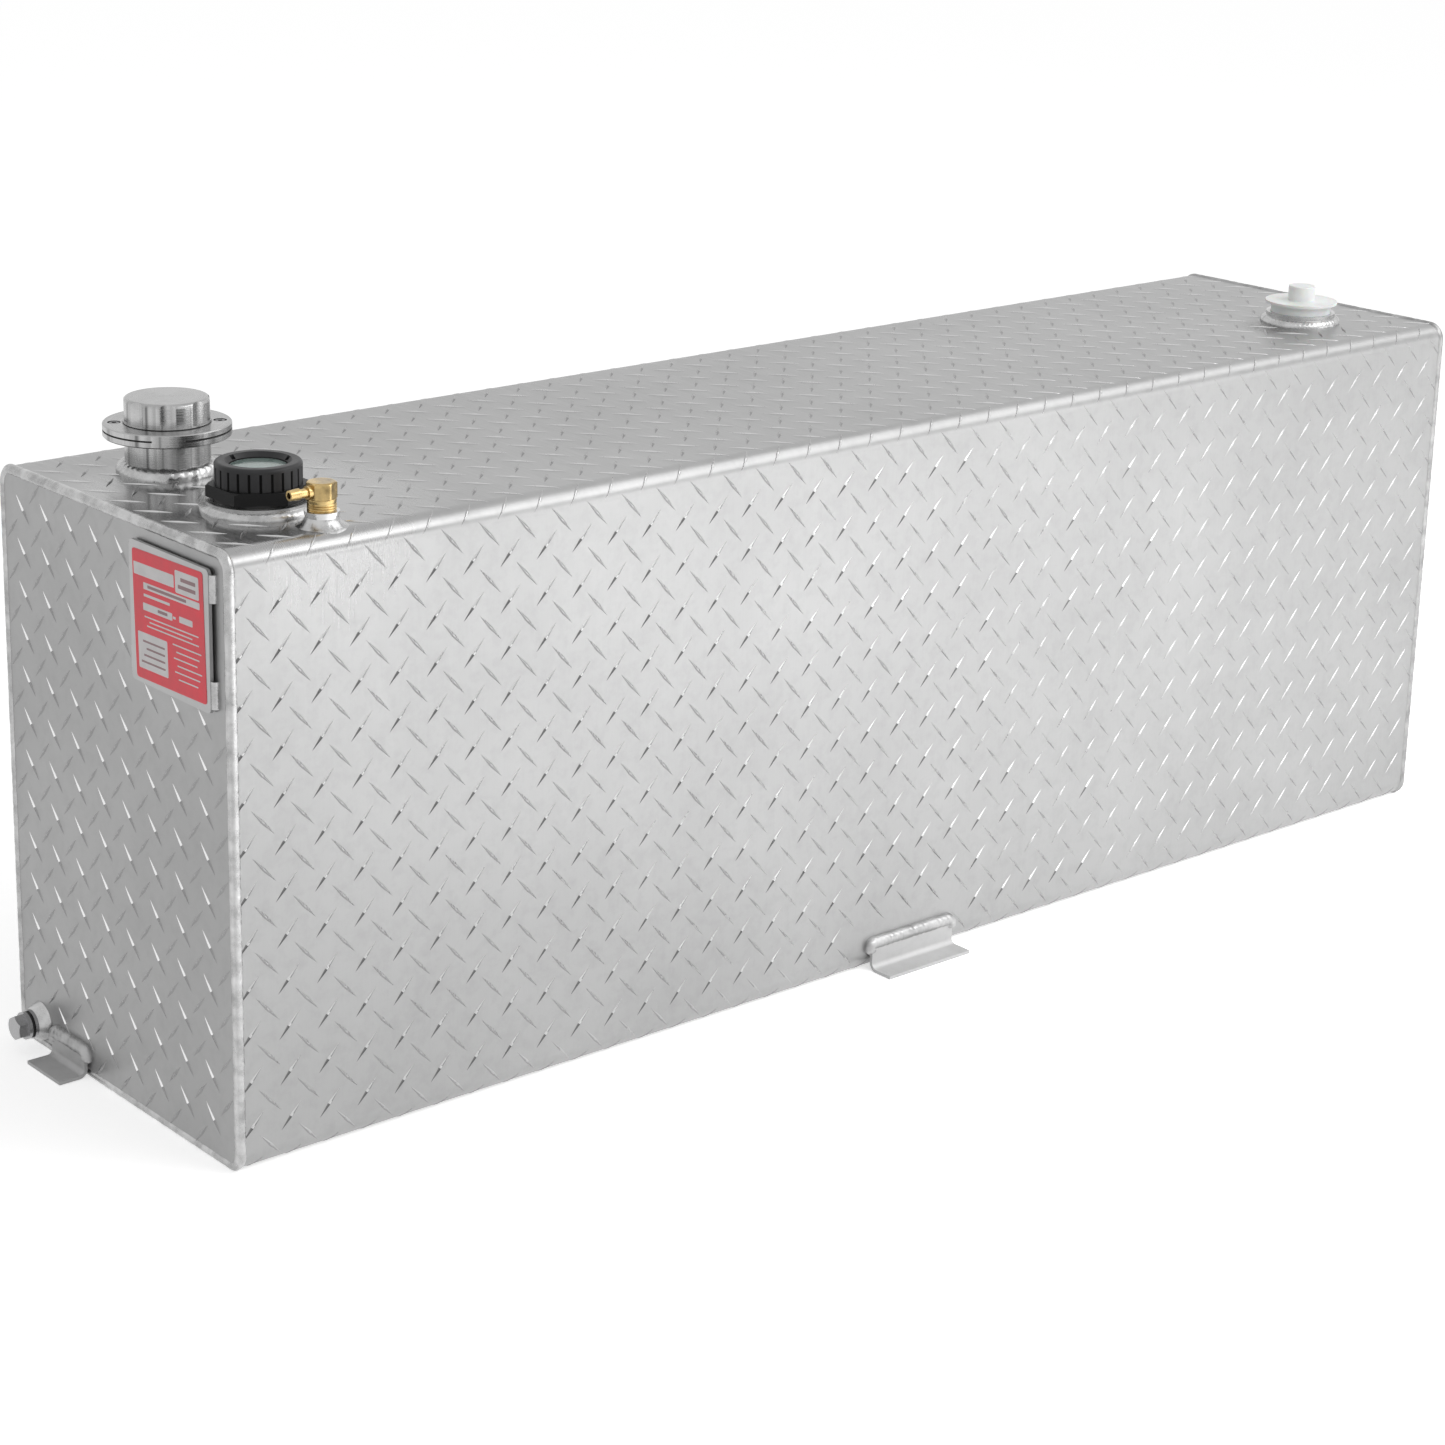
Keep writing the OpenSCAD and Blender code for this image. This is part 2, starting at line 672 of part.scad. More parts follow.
module gauge_pointer() {
    hub_d = 7;
    color([0.75, 0.15, 0.12]) translate([gauge_at[0], gauge_at[1], pointer_z]) difference() {
        linear_extrude(pointer_t) {
            circle(d = hub_d);
            polygon([[-5, -1.8], [0, -1.8], [pointer_l, -0.4], [pointer_l, 0.4], [0, 1.8], [-5, 1.8]]);
        }
        translate([0, 0, -eps]) cylinder(d = spindle_d, h = 2 * pointer_t);
    }
}

// Ribbon twisted along its length, with a round journal at each end
module twisted_strip() {
    strip_l = strip_top - strip_bottom;
    color(bright_metal) translate([gauge_at[0], gauge_at[1], 0]) {
        translate([0, 0, strip_bottom])
            linear_extrude(strip_l, twist = -strip_rate * strip_l, slices = strip_slices, $fn = 8)
                square([strip_w, strip_t], center = true);
        translate([0, 0, guide_foot_bottom]) cylinder(d = spindle_d, h = strip_bottom - guide_foot_bottom + 1);
        translate([0, 0, strip_top - 1]) cylinder(d = spindle_d, h = pointer_z + pointer_t - strip_top + 1);
    }
}

module guide_rod_places(z) {
    translate([gauge_at[0], gauge_at[1], z]) for (s = [-1, 1])
        translate([0, s * guide_rod_r, 0]) children();
}

module guide_rods() {
    color(bright_metal) guide_rod_places(guide_foot_bottom)
        cylinder(d = guide_rod_d, h = cup_floor_under - guide_foot_bottom);
}

module guide_foot() {
    pad_d = guide_rod_d + 8;
    color(black_plastic) difference() {
        translate([gauge_at[0], gauge_at[1], guide_foot_bottom]) linear_extrude(guide_foot_t) {
            square([pad_d, 2 * guide_rod_r], center = true);
            for (s = [-1, 1]) translate([0, s * guide_rod_r]) circle(d = pad_d);
        }
        guide_rod_places(guide_foot_bottom - eps) cylinder(d = guide_rod_d, h = 2 * guide_foot_t);
        translate([gauge_at[0], gauge_at[1], guide_foot_bottom - eps])
            cylinder(d = spindle_d + 2 * run_gap, h = 2 * guide_foot_t);
    }
}

module float() {
    color(black_plastic) difference() {
        translate([gauge_at[0], gauge_at[1], float_bottom]) cylinder(d = float_d, h = float_h);
        translate([gauge_at[0], gauge_at[1], float_bottom - eps]) cylinder(d = float_bore_d, h = 2 * float_h);
        guide_rod_places(float_bottom - eps) cylinder(d = guide_rod_d + 2 * loose_gap, h = 2 * float_h);
    }
}

// Slotted plate on the float: it turns the strip as the float moves
module float_key() {
    color(brass_metal) translate([gauge_at[0], gauge_at[1], float_top]) difference() {
        cylinder(d = key_d, h = key_t);
        translate([0, 0, -eps]) rotate([0, 0, key_angle]) linear_extrude(2 * key_t)
            square([strip_w + 2 * loose_gap, strip_t + 2 * loose_gap], center = true);
    }
}

module vent_bung() {
    bead_gap = 0.4;
    rim_h = vent_bung_h - vent_bead_r - bead_gap;
    color(bright_metal) translate([vent_at[0], vent_at[1], tank_h - bung_below]) difference() {
        union() {
            cylinder(d = vent_bung_d, h = bung_below + vent_bung_h);
            translate([0, 0, bung_below + vent_bung_h - rim_h]) cylinder(d = vent_rim_d, h = rim_h);
        }
        translate([0, 0, -eps]) cylinder(d = elbow_thread_d, h = 3 * over);
    }
}

// The bead runs down over the front fold
module vent_bung_weld() {
    color(weld_metal) difference() {
        translate([vent_at[0], vent_at[1], tank_h]) rotate_extrude() difference() {
            translate([vent_bung_d / 2, 0]) circle(vent_bead_r);
            translate([-over, -over]) square([vent_bung_d / 2 + over, 2 * over]);
        }
        along_x(vent_at[0] - 2 * over, 4 * over) tank_outline(0);
    }
}

// A hexagon with rounded corners, about the origin
module soft_hexagon(d, r) {
    inner = d / 2 - r / cos(30);
    circle(inner, $fn = 6);
    for (i = [0:5]) {
        rotate(60 * i) translate([inner, 0]) circle(r);
        rotate(60 * i + 30) translate([0, -inner / 2]) square([inner * cos(30) + r, inner]);
    }
}

module vent_elbow() {
    bung_top = tank_h + vent_bung_h;
    thread_l = 14;
    corner_r = 2.5;
    top_r = 3;
    color(brass_metal) translate([vent_at[0], vent_at[1], 0]) difference() {
        union() {
            translate([0, 0, bung_top - thread_l])
                cylinder(d = elbow_thread_d, h = thread_l + elbow_thread_show + eps);
            translate([0, 0, bung_top + elbow_thread_show])
                cylinder(d = elbow_collar_d, h = elbow_collar_h + eps);
            translate([0, 0, elbow_hex_z]) intersection() {
                rotate([0, 0, 30]) linear_extrude(elbow_hex_h) soft_hexagon(elbow_hex_d, corner_r);
                rotate_extrude() {
                    square([elbow_hex_d / 2, elbow_hex_h - top_r]);
                    square([elbow_hex_d / 2 - top_r, elbow_hex_h]);
                    translate([elbow_hex_d / 2 - top_r, elbow_hex_h - top_r]) circle(top_r);
                }
            }
            translate([0, 0, barb_z]) rotate([0, -90, 0]) rotate_extrude() polygon([
                [0, 0], [barb_root_d / 2, 0], [barb_root_d / 2, barb_l - 16],
                [barb_neck_d / 2, barb_l - 16], [barb_neck_d / 2, barb_l - 9],
                [barb_d / 2, barb_l - 9], [barb_d / 2, barb_l - 7], [barb_tip_d / 2, barb_l],
                [0, barb_l]]);
        }
        translate([0, 0, bung_top - thread_l - eps])
            cylinder(d = vent_bore_d, h = barb_z - bung_top + thread_l + eps);
        translate([0, 0, barb_z]) rotate([0, -90, 0]) cylinder(d = vent_bore_d, h = barb_l + eps);
    }
}

module pump_bung() {
    color(bright_metal) translate([pump_at[0], pump_at[1], tank_h - bung_below]) difference() {
        cylinder(d = pump_bung_d, h = bung_below + pump_bung_h);
        translate([0, 0, -eps]) cylinder(d = pump_bore_d, h = 3 * over);
    }
}

module pump_bung_weld() {
    color(weld_metal) tube_bead(pump_at, pump_bung_d / 2, pump_bead_r, 1);
}

// Hollow plastic plug with a thin flange and a grip
module transport_plug() {
    wall_bottom = plug_flange_z - plug_wall_l;
    grip_edge = 1.2;
    color([0.95, 0.95, 0.93]) translate([pump_at[0], pump_at[1], 0]) difference() {
        rotate_extrude() {
            translate([0, wall_bottom]) square([plug_thread_d / 2, plug_wall_l + eps]);
            translate([0, plug_flange_z]) square([plug_flange_d / 2, plug_flange_t]);
            translate([0, plug_flange_z])
                square([plug_grip_d / 2 - grip_edge, plug_flange_t + plug_grip_h]);
            translate([0, plug_flange_z])
                square([plug_grip_d / 2, plug_flange_t + plug_grip_h - grip_edge]);
            translate([plug_grip_d / 2 - grip_edge, plug_flange_z + plug_flange_t + plug_grip_h - grip_edge])
                circle(grip_edge);
        }
        translate([0, 0, wall_bottom - eps]) cylinder(d = plug_thread_d - 2 * plug_wall, h = plug_wall_l);
        translate([0, 0, wall_bottom - eps])
            cylinder(d = plug_grip_d - 2 * plug_wall, h = plug_wall_l + plug_flange_t + plug_grip_h - plug_wall);
    }
}

// The drain's own frame: +Z points out of the left end
module drain_frame() {
    translate([-tank_l / 2, drain_y, drain_z]) rotate([0, -90, 0]) children();
}

module drain_boss() {
    color(bright_metal) drain_frame() difference() {
        translate([0, 0, -sheet_t]) cylinder(d = drain_boss_d, h = sheet_t + drain_boss_l);
        translate([0, 0, -over]) cylinder(d = drain_bore_d, h = 3 * over);
    }
}

// A tall bead that flares to the end plate and stops above the corner weld
module drain_boss_weld() {
    r = drain_boss_d / 2;
    color(weld_metal) drain_frame() difference() {
        rotate_extrude() difference() {
            polygon([[r, 0], [r + drain_flare_w, 0], [r + drain_flare_w, 0.5], [r, drain_flare_h]]);
            translate([r + drain_flare_w + 11, drain_flare_h + 4.5]) circle(14);
        }
        translate([-drain_z, -over, -eps]) cube([corner_leg, 2 * over, over]);
    }
}

module drain_seal() {
    color(black_rubber) drain_frame() translate([0, 0, drain_seal_x]) difference() {
        cylinder(d = drain_boss_d - 2, h = drain_seal_t);
        translate([0, 0, -eps]) cylinder(d = drain_seal_bore_d, h = 2 * drain_seal_t);
    }
}

module drain_plug() {
    hex_d = drain_flats / cos(30);
    color(bright_metal) drain_frame() {
        translate([0, 0, drain_face - drain_shank_l])
            cylinder(d = drain_shank_d, h = drain_flange_x - drain_face + drain_shank_l + eps);
        translate([0, 0, drain_flange_x]) cylinder(d = drain_boss_d - 1, h = drain_flange_t);
        translate([0, 0, drain_hex_x - eps]) intersection() {
            cylinder(d = hex_d, h = drain_hex_h + eps, $fn = 6);
            rotate_extrude() polygon([[0, 0], [hex_d / 2, 0], [hex_d / 2, drain_hex_h - 1],
                [drain_flats / 2, drain_hex_h + eps], [0, drain_hex_h + eps]]);
        }
    }
}

// A foot's section: x points out from the tank's face, y up
module foot_section(h) {
    fold_out = foot_fold_r + foot_t;
    translate([foot_gap, fold_out]) square([foot_t, h - fold_out]);
    translate([foot_gap + fold_out, 0]) square([foot_reach - foot_gap - fold_out, foot_t]);
    translate([foot_gap + fold_out, fold_out]) difference() {
        circle(fold_out);
        circle(foot_fold_r);
        translate([0, -over]) square([over, 2 * over]);
        translate([-over, 0]) square([2 * over, over]);
    }
}

// One bead over the top edge of a foot's upright leg, turned down at both sides
module foot_bead(w, h) {
    difference() {
        translate([foot_gap / 2 + 0.5, 0, h]) {
            translate([0, w / 2, 0]) rotate([90, 0, 0]) cylinder(r = foot_bead_r, h = w);
            for (s = [-1, 1]) translate([0, s * w / 2, 0]) {
                translate([0, 0, -foot_bead_turn]) cylinder(r = foot_bead_r, h = foot_bead_turn);
                sphere(foot_bead_r);
            }
        }
        translate([-over, -w, -eps]) cube([over, 2 * w, 3 * h]);
        translate([foot_gap, -w / 2, -eps]) cube([foot_t, w, h + eps]);
    }
}

// Turns what is drawn for a face at +X to a face at a distance in a direction
module at_face(dir, distance, shift) {
    rotate([0, 0, dir]) translate([distance, shift, 0]) children();
}

module foot(w, h) {
    color(bright_metal) rotate([90, 0, 0]) linear_extrude(w, center = true) foot_section(h);
}
module foot_front() { at_face(-90, tank_w / 2, 0) foot(front_foot_w, front_foot_h); }
module foot_left() { at_face(180, tank_l / 2, -end_foot_y) foot(end_foot_w, end_foot_h); }
module foot_right() { at_face(0, tank_l / 2, end_foot_y) foot(end_foot_w, end_foot_h); }

module foot_welds() {
    color(weld_metal) {
        at_face(-90, tank_w / 2, 0) foot_bead(front_foot_w, front_foot_h);
        at_face(180, tank_l / 2, -end_foot_y) foot_bead(end_foot_w, end_foot_h);
        at_face(0, tank_l / 2, end_foot_y) foot_bead(end_foot_w, end_foot_h);
    }
}

// The label plate's own frame: x to the front, y up, z out of the left end
module plate_frame() {
    translate([-tank_l / 2, plate_at[0], plate_at[1]]) rotate([90, 0, -90]) children();
}

module label_plate() {
    color([0.72, 0.73, 0.73]) plate_frame() translate([0, 0, plate_gap])
        linear_extrude(plate_t) rounded_rect(plate_side, plate_side, plate_corner_r);
}

// Four tacks on the upright edges, each from the end plate to the label plate
module label_plate_welds() {
    tack_r = plate_gap + plate_t - 0.5;
    tack_y = plate_side / 2 - plate_corner_r - tack_l;
    color(weld_metal) plate_frame() for (sx = [-1, 1], sy = [-1, 1])
        translate([sx * plate_side / 2, sy > 0 ? tack_y : -tack_y, 0]) rotate([sy > 0 ? -90 : 90, 0, 0])
            linear_extrude(tack_l) intersection() {
                circle(tack_r);
                translate([sx > 0 ? 0 : -over, sy > 0 ? -over : 0]) square([over, over]);
            }
}

module label() {
    color([0.80, 0.22, 0.24]) plate_frame() translate([0, 0, plate_gap + plate_t])
        rotate([0, 0, label_tilt]) linear_extrude(label_t)
            rounded_rect(label_w, label_h, label_corner_r);
}

tank_wrap();
seam_weld();
end_cap_left();
end_cap_right();
end_weld_left();
end_weld_right();
baffle_left();
baffle_right();
fill_neck();
fill_neck_weld();
neck_gasket();
cap_ring();
ring_screws();
cap_seal();
fill_cap();
gauge_bung();
gauge_bung_weld();
gauge_seal();
gauge_body();
gauge_lock_ring();
gauge_window();
gauge_dial();
gauge_pointer();
twisted_strip();
guide_rods();
guide_foot();
float();
float_key();
vent_bung();
vent_bung_weld();
vent_elbow();
pump_bung();
pump_bung_weld();
transport_plug();
drain_boss();
drain_boss_weld();
drain_seal();
drain_plug();
foot_front();
foot_left();
foot_right();
foot_welds();
label_plate();
label_plate_welds();
label();
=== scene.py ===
import math
import bpy
from mathutils import Matrix, Vector, noise
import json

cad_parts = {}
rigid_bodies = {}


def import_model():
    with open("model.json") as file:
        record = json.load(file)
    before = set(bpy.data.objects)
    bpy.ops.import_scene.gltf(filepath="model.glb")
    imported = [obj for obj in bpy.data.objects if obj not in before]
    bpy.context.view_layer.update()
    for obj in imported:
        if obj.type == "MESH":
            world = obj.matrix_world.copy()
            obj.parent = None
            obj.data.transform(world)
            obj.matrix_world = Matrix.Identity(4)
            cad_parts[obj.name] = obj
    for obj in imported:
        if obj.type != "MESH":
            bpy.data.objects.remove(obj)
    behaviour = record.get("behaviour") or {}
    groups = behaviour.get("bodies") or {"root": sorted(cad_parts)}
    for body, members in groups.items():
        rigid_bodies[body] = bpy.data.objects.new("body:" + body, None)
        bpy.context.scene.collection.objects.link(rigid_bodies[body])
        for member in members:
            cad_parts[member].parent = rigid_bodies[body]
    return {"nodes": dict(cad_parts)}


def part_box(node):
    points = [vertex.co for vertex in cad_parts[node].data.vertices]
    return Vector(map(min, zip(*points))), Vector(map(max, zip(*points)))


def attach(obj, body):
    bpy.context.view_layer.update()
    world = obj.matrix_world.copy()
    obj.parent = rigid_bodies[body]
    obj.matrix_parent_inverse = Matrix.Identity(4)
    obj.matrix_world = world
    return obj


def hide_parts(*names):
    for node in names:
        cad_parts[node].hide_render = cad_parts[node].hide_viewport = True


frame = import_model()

for o in [o for o in bpy.data.objects if o.name in ("Cube", "Camera", "Light")]:
    bpy.data.objects.remove(o, do_unlink=True)
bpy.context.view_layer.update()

MM = 0.001
NODES = frame["nodes"]


def middle(node):
    lo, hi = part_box(node)
    return (lo + hi) / 2


FILL, GAUGE, VENT, PUMP = (middle(n) for n in ("fill_cap", "gauge_bung", "vent_bung", "pump_bung"))


# Materials

def linear(c):
    return [((v + 0.055) / 1.055) ** 2.4 if v > 0.04045 else v / 12.92 for v in c] + [1.0]


class Mat:
    """A node material with a Principled shader and short ways to add nodes."""

    def __init__(self, name, colour, metallic, rough, **fixed):
        self.material = bpy.data.materials.new(name)
        self.material.use_nodes = True
        self.tree = self.material.node_tree
        self.shader = self.tree.nodes["Principled BSDF"]
        self.shader.inputs["Base Color"].default_value = linear(colour)
        self.shader.inputs["Metallic"].default_value = metallic
        self.shader.inputs["Roughness"].default_value = rough
        for k, v in fixed.items():
            self.shader.inputs[k.replace("_", " ")].default_value = v
        self.material.diffuse_color = linear(colour)
        self.bumps = []

    def node(self, kind, links=None):
        n = self.tree.nodes.new(kind)
        for k, v in (links or {}).items():
            self.tree.links.new(v, n.inputs[k])
        return n

    def where(self, scale=(1, 1, 1), at=(0, 0, 0)):
        c = self.node("ShaderNodeTexCoord")
        m = self.node("ShaderNodeMapping", {0: c.outputs["Object"]})
        m.inputs["Location"].default_value = at
        m.inputs["Scale"].default_value = scale
        return m.outputs[0]

    def math(self, op, a, b=None, clamp=False):
        n = self.tree.nodes.new("ShaderNodeMath")
        n.operation, n.use_clamp = op, clamp
        for i, v in enumerate((a, b)):
            if v is None:
                continue
            if isinstance(v, (int, float)):
                n.inputs[i].default_value = v
            else:
                self.tree.links.new(v, n.inputs[i])
        return n.outputs[0]

    def noise(self, vec, scale, detail=3.0, rough=0.55):
        n = self.node("ShaderNodeTexNoise", {"Vector": vec})
        n.inputs["Scale"].default_value = scale
        n.inputs["Detail"].default_value = detail
        n.inputs["Roughness"].default_value = rough
        return n.outputs["Fac"]

    def ramp(self, fac, stops):
        n = self.node("ShaderNodeValToRGB", {"Fac": fac})
        e = n.color_ramp.elements
        while len(e) < len(stops):
            e.new(0.5)
        for el, (p, c) in zip(e, stops):
            el.position = p
            el.color = linear(c) if isinstance(c, (tuple, list)) else (c, c, c, 1)
        return n.outputs["Color"]

    def spread(self, fac, lo, hi, a=0.3, b=0.7):
        n = self.node("ShaderNodeMapRange", {"Value": fac})
        for k, v in (("From Min", a), ("From Max", b), ("To Min", lo), ("To Max", hi)):
            n.inputs[k].default_value = v
        return n.outputs[0]

    def mix(self, fac, a, b, blend="MIX"):
        n = self.tree.nodes.new("ShaderNodeMix")
        n.data_type, n.blend_type = "RGBA", blend
        for i, v in ((0, fac), (6, a), (7, b)):
            if isinstance(v, (tuple, list)):
                n.inputs[i].default_value = linear(v)
            elif isinstance(v, (int, float)):
                n.inputs[i].default_value = v
            else:
                self.tree.links.new(v, n.inputs[i])
        return n.outputs[2]

    def near(self, at, reach, soft):
        """1 near a place on the object, 0 beyond its reach."""
        c = self.node("ShaderNodeTexCoord")
        d = self.tree.nodes.new("ShaderNodeVectorMath")
        d.operation = "DISTANCE"
        self.tree.links.new(c.outputs["Object"], d.inputs[0])
        d.inputs[1].default_value = at
        return self.spread(d.outputs["Value"], 1.0, 0.0, reach, reach + soft)

    def from_axis(self, split):
        """Distance from the upright axis through the origin of a split position."""
        squares = [self.math("POWER", split.outputs[i], 2.0) for i in (0, 1)]
        return self.math("POWER", self.math("ADD", *squares), 0.5)

    def colour(self, c):
        self.tree.links.new(c, self.shader.inputs["Base Color"])

    def rough(self, r):
        self.tree.links.new(r, self.shader.inputs["Roughness"])

    def bump(self, height, strength, distance):
        n = self.node("ShaderNodeBump", {"Height": height})
        n.inputs["Strength"].default_value = strength
        n.inputs["Distance"].default_value = distance
        if self.bumps:
            self.tree.links.new(self.bumps[-1], n.inputs["Normal"])
        self.bumps.append(n.outputs[0])
        self.tree.links.new(n.outputs[0], self.shader.inputs["Normal"])


TANK_TOP = 0.508
SOOT_OFFSET, SOOT_REACH, SOOT_SOFT = (-0.048, -0.008), 0.008, 0.034
BUFFED_REACH, BUFFED_SOFT, BUFFED_ROUGH = 0.07, 0.10, 0.11


def sheet_metal(name, tone, metallic, rough, spots=True):
    m = Mat(name, tone, metallic, rough)
    cloud = m.noise(m.where(), 5.0, 4.0)
    fine = m.noise(m.where(), 90.0, 5.0, 0.6)
    lo = [v * 0.97 for v in tone]
    hi = [min(1, v * 1.02) for v in tone]
    base = m.ramp(cloud, [(0.3, lo), (0.7, hi)])
    speck = m.ramp(fine, [(0.30, 0.93), (0.55, 1.0)])
    base = m.mix(1.0, base, speck, "MULTIPLY")
    if spots:
        # a sooty patch beside the pump bung
        at = (PUMP.x + SOOT_OFFSET[0], PUMP.y + SOOT_OFFSET[1], TANK_TOP)
        soot = m.near(at, SOOT_REACH, SOOT_SOFT)
        specks = m.noise(m.where(), 420.0, 3.0, 0.7)
        dots = m.ramp(specks, [(0.47, 0.0), (0.60, 1.0)])
        cover = m.math("ADD", m.math("MULTIPLY", dots, 0.70), 0.30)
        haze = m.math("MULTIPLY", soot, cover, True)
        base = m.mix(haze, base, (0.22, 0.21, 0.20))
    m.colour(base)
    streak = m.noise(m.where((60, 2.5, 2.5)), 9.0, 3.0)
    wander = m.spread(streak, rough - 0.04, rough + 0.05)
    wander = m.math("ADD", wander, m.spread(fine, -0.02, 0.03))
    if spots:
        # ground bright round the left fittings
        at = (FILL.x, (FILL.y + VENT.y) / 2 - 0.01, TANK_TOP)
        buffed = m.near(at, BUFFED_REACH, BUFFED_SOFT)
        less = m.math("MULTIPLY", buffed, rough - BUFFED_ROUGH)
        wander = m.math("SUBTRACT", wander, less, True)
    m.rough(wander)
    m.bump(m.noise(m.where((30, 1, 1)), 28.0, 3.0), 0.08, 0.0003)
    m.bump(fine, 0.05, 0.0002)
    return m


def turned(name, tone, axis_at, rough=0.26, painted_reflection_bands=False):
    """Lathe-turned metal: fine rings round an upright axis, and a satin sheen that wanders. Optionally,
    painted reflection bands on the sides and painted shade on the flat faces.
    """
    m = Mat(name, tone, 0.92, rough)
    m.shader.inputs["Anisotropic"].default_value = 0.35
    p = m.where(at=(-axis_at[0], -axis_at[1], 0))
    x = m.node("ShaderNodeSeparateXYZ", {0: p})
    v = m.node("ShaderNodeCombineXYZ", {0: m.from_axis(x), 1: x.outputs[2]}).outputs[0]
    rings = m.noise(v, 1400.0, 2.0)
    cloud = m.noise(m.where(), 34.0, 3.0)
    base = m.mix(m.spread(cloud, 0, 1), [c * 0.90 for c in tone], [min(1, c * 1.04) for c in tone])
    if painted_reflection_bands:
        # painted reflections: light and dark streaks round the axis on the sides, and the flat faces painted
        # darker as shade
        turn = m.math("ARCTAN2", x.outputs[1], x.outputs[0])
        around = {0: m.math("COSINE", turn), 1: m.math("SINE", turn)}
        ring = m.node("ShaderNodeCombineXYZ", around).outputs[0]
        shades = [(0.36, 0.34), (0.45, 0.80), (0.55, 1.0), (0.64, 0.62)]
        painted_streaks = m.ramp(m.noise(ring, 3.4, 3.0, 0.6), shades)
        normal = m.node("ShaderNodeNewGeometry").outputs["True Normal"]
        side = m.node("ShaderNodeSeparateXYZ", {0: normal}).outputs[2]
        side = m.spread(m.math("ABSOLUTE", side), 1.0, 0.0, 0.2, 0.8)
        face = m.mix(1.0, base, (0.88, 0.88, 0.88), "MULTIPLY")
        base = m.mix(side, face, m.mix(1.0, base, painted_streaks, "MULTIPLY"))
    m.colour(base)
    m.rough(m.math("ADD", m.spread(rings, rough - 0.07, rough + 0.07), m.spread(cloud, -0.03, 0.05)))
    m.bump(rings, 0.22, 0.00012)
    return m


def plastic(name, tone, rough, grain=900.0, depth=0.00006, tint=0.12, **fixed):
    m = Mat(name, tone, 0.0, rough, **fixed)
    cloud = m.noise(m.where(), 60.0, 4.0)
    fine = m.noise(m.where(), grain, 3.0)
    lo = [c * (1 - tint) for c in tone]
    hi = [min(1, c * (1 + tint)) for c in tone]
    m.colour(m.mix(m.spread(cloud, 0, 1), lo, hi))
    m.rough(m.math("ADD", m.spread(cloud, rough - 0.05, rough + 0.05), m.spread(fine, -0.03, 0.03)))
    m.bump(fine, 0.35, depth)
    return m


def weld_metal(name, tone, rough, metallic=0.9, stain=0.80):
    m = Mat(name, tone, metallic, rough)
    cloud = m.noise(m.where(), 70.0, 4.0)
    fine = m.noise(m.where(), 520.0, 4.0)
    lo = [c * stain for c in tone]
    hi = [min(1, c * 1.06) for c in tone]
    m.colour(m.mix(m.spread(cloud, 0, 1), lo, hi))
    m.rough(m.math("ADD", m.spread(cloud, rough - 0.08, rough + 0.10), m.spread(fine, -0.04, 0.05)))
    m.bump(fine, 0.35, 0.0003)
    return m


TREAD = sheet_metal("tread_aluminium", (0.655, 0.655, 0.655), 0.78, 0.36)
ENDS = sheet_metal("tread_aluminium_end", (0.655, 0.655, 0.655), 0.80, 0.34, spots=False)
# Lit and shaded copies of the tread metal, for painted light and shade on the lugs' facets
LUG_TONES = (("bright", 0.97, 0.18), ("light", 0.80, 0.29), ("mid", 0.67, 0.28), ("soft", 0.59, 0.28),
             ("grey", 0.47, 0.30), ("dull", 0.30, 0.34))
LUGS = [sheet_metal("tread_lug_shade_painted_" + n, (c, c, c), 0.85, r, spots=False) for n, c, r in LUG_TONES]
PLATE = sheet_metal("plate_aluminium_satin", (0.70, 0.70, 0.70), 0.85, 0.34, spots=False)
FOOT = sheet_metal("foot_aluminium", (0.76, 0.76, 0.76), 0.30, 0.55, spots=False)
WELD = weld_metal("weld_aluminium", (0.76, 0.76, 0.76), 0.27)
FOOT_WELD = weld_metal("weld_aluminium_pale", (0.70, 0.70, 0.70), 0.42, 0.75, 0.86)
SEAM = weld_metal("weld_aluminium_plain", (0.65, 0.65, 0.65), 0.36)
TURNED = turned("turned_aluminium_fill", (0.76, 0.76, 0.76), FILL, painted_reflection_bands=True)
TURNED_G = turned("turned_aluminium_gauge", (0.78, 0.78, 0.78), GAUGE)
TURNED_V = turned("turned_aluminium_vent", (0.82, 0.82, 0.82), VENT, 0.16)
TURNED_P = turned("turned_aluminium_pump", (0.80, 0.80, 0.80), PUMP, 0.22)
STEEL = sheet_metal("plated_steel", (0.68, 0.68, 0.685), 0.90, 0.22, spots=False)
DARK_STEEL = weld_metal("screw_steel", (0.42, 0.42, 0.43), 0.30)
BLACK = plastic("gauge_black_plastic", (0.075, 0.075, 0.078), 0.42, 700.0, 0.00010, Specular_IOR_Level=0.22)
RIBBED = plastic("gauge_ribbed_plastic", (0.19, 0.19, 0.195), 0.42, 700.0, 0.00010, Specular_IOR_Level=0.28)
RUBBER = plastic("black_rubber", (0.07, 0.07, 0.07), 0.62, 500.0, 0.0001)
BRASS = weld_metal("cast_brass", (0.82, 0.71, 0.49), 0.19, 0.95, 0.62)
WHITE = plastic("plug_white_plastic", (0.94, 0.945, 0.94), 0.36, 350.0, 0.00008, 0.03,
                Subsurface_Weight=0.25, Subsurface_Scale=0.004)
RED = plastic("label_red_film", (0.94, 0.28, 0.33), 0.42, 1200.0, 0.00003, 0.04)
PRINT = plastic("label_white_print", (0.90, 0.89, 0.89), 0.45, 1200.0, 0.00003, 0.03)
RULES = plastic("label_grey_print", (0.62, 0.50, 0.51), 0.45, 1200.0, 0.00003, 0.05)
DIAL = plastic("dial_face", (0.70, 0.76, 0.73), 0.55, 900.0, 0.00003, 0.03)
POINTER = plastic("pointer_red_paint", (0.72, 0.16, 0.13), 0.4)
FLOAT = plastic("float_black_foam", (0.10, 0.10, 0.105), 0.6, 300.0, 0.0002)
KEY = weld_metal("key_brass", (0.80, 0.66, 0.42), 0.32, 0.95)
STRIP = weld_metal("strip_aluminium", (0.82, 0.825, 0.83), 0.25, 0.95)


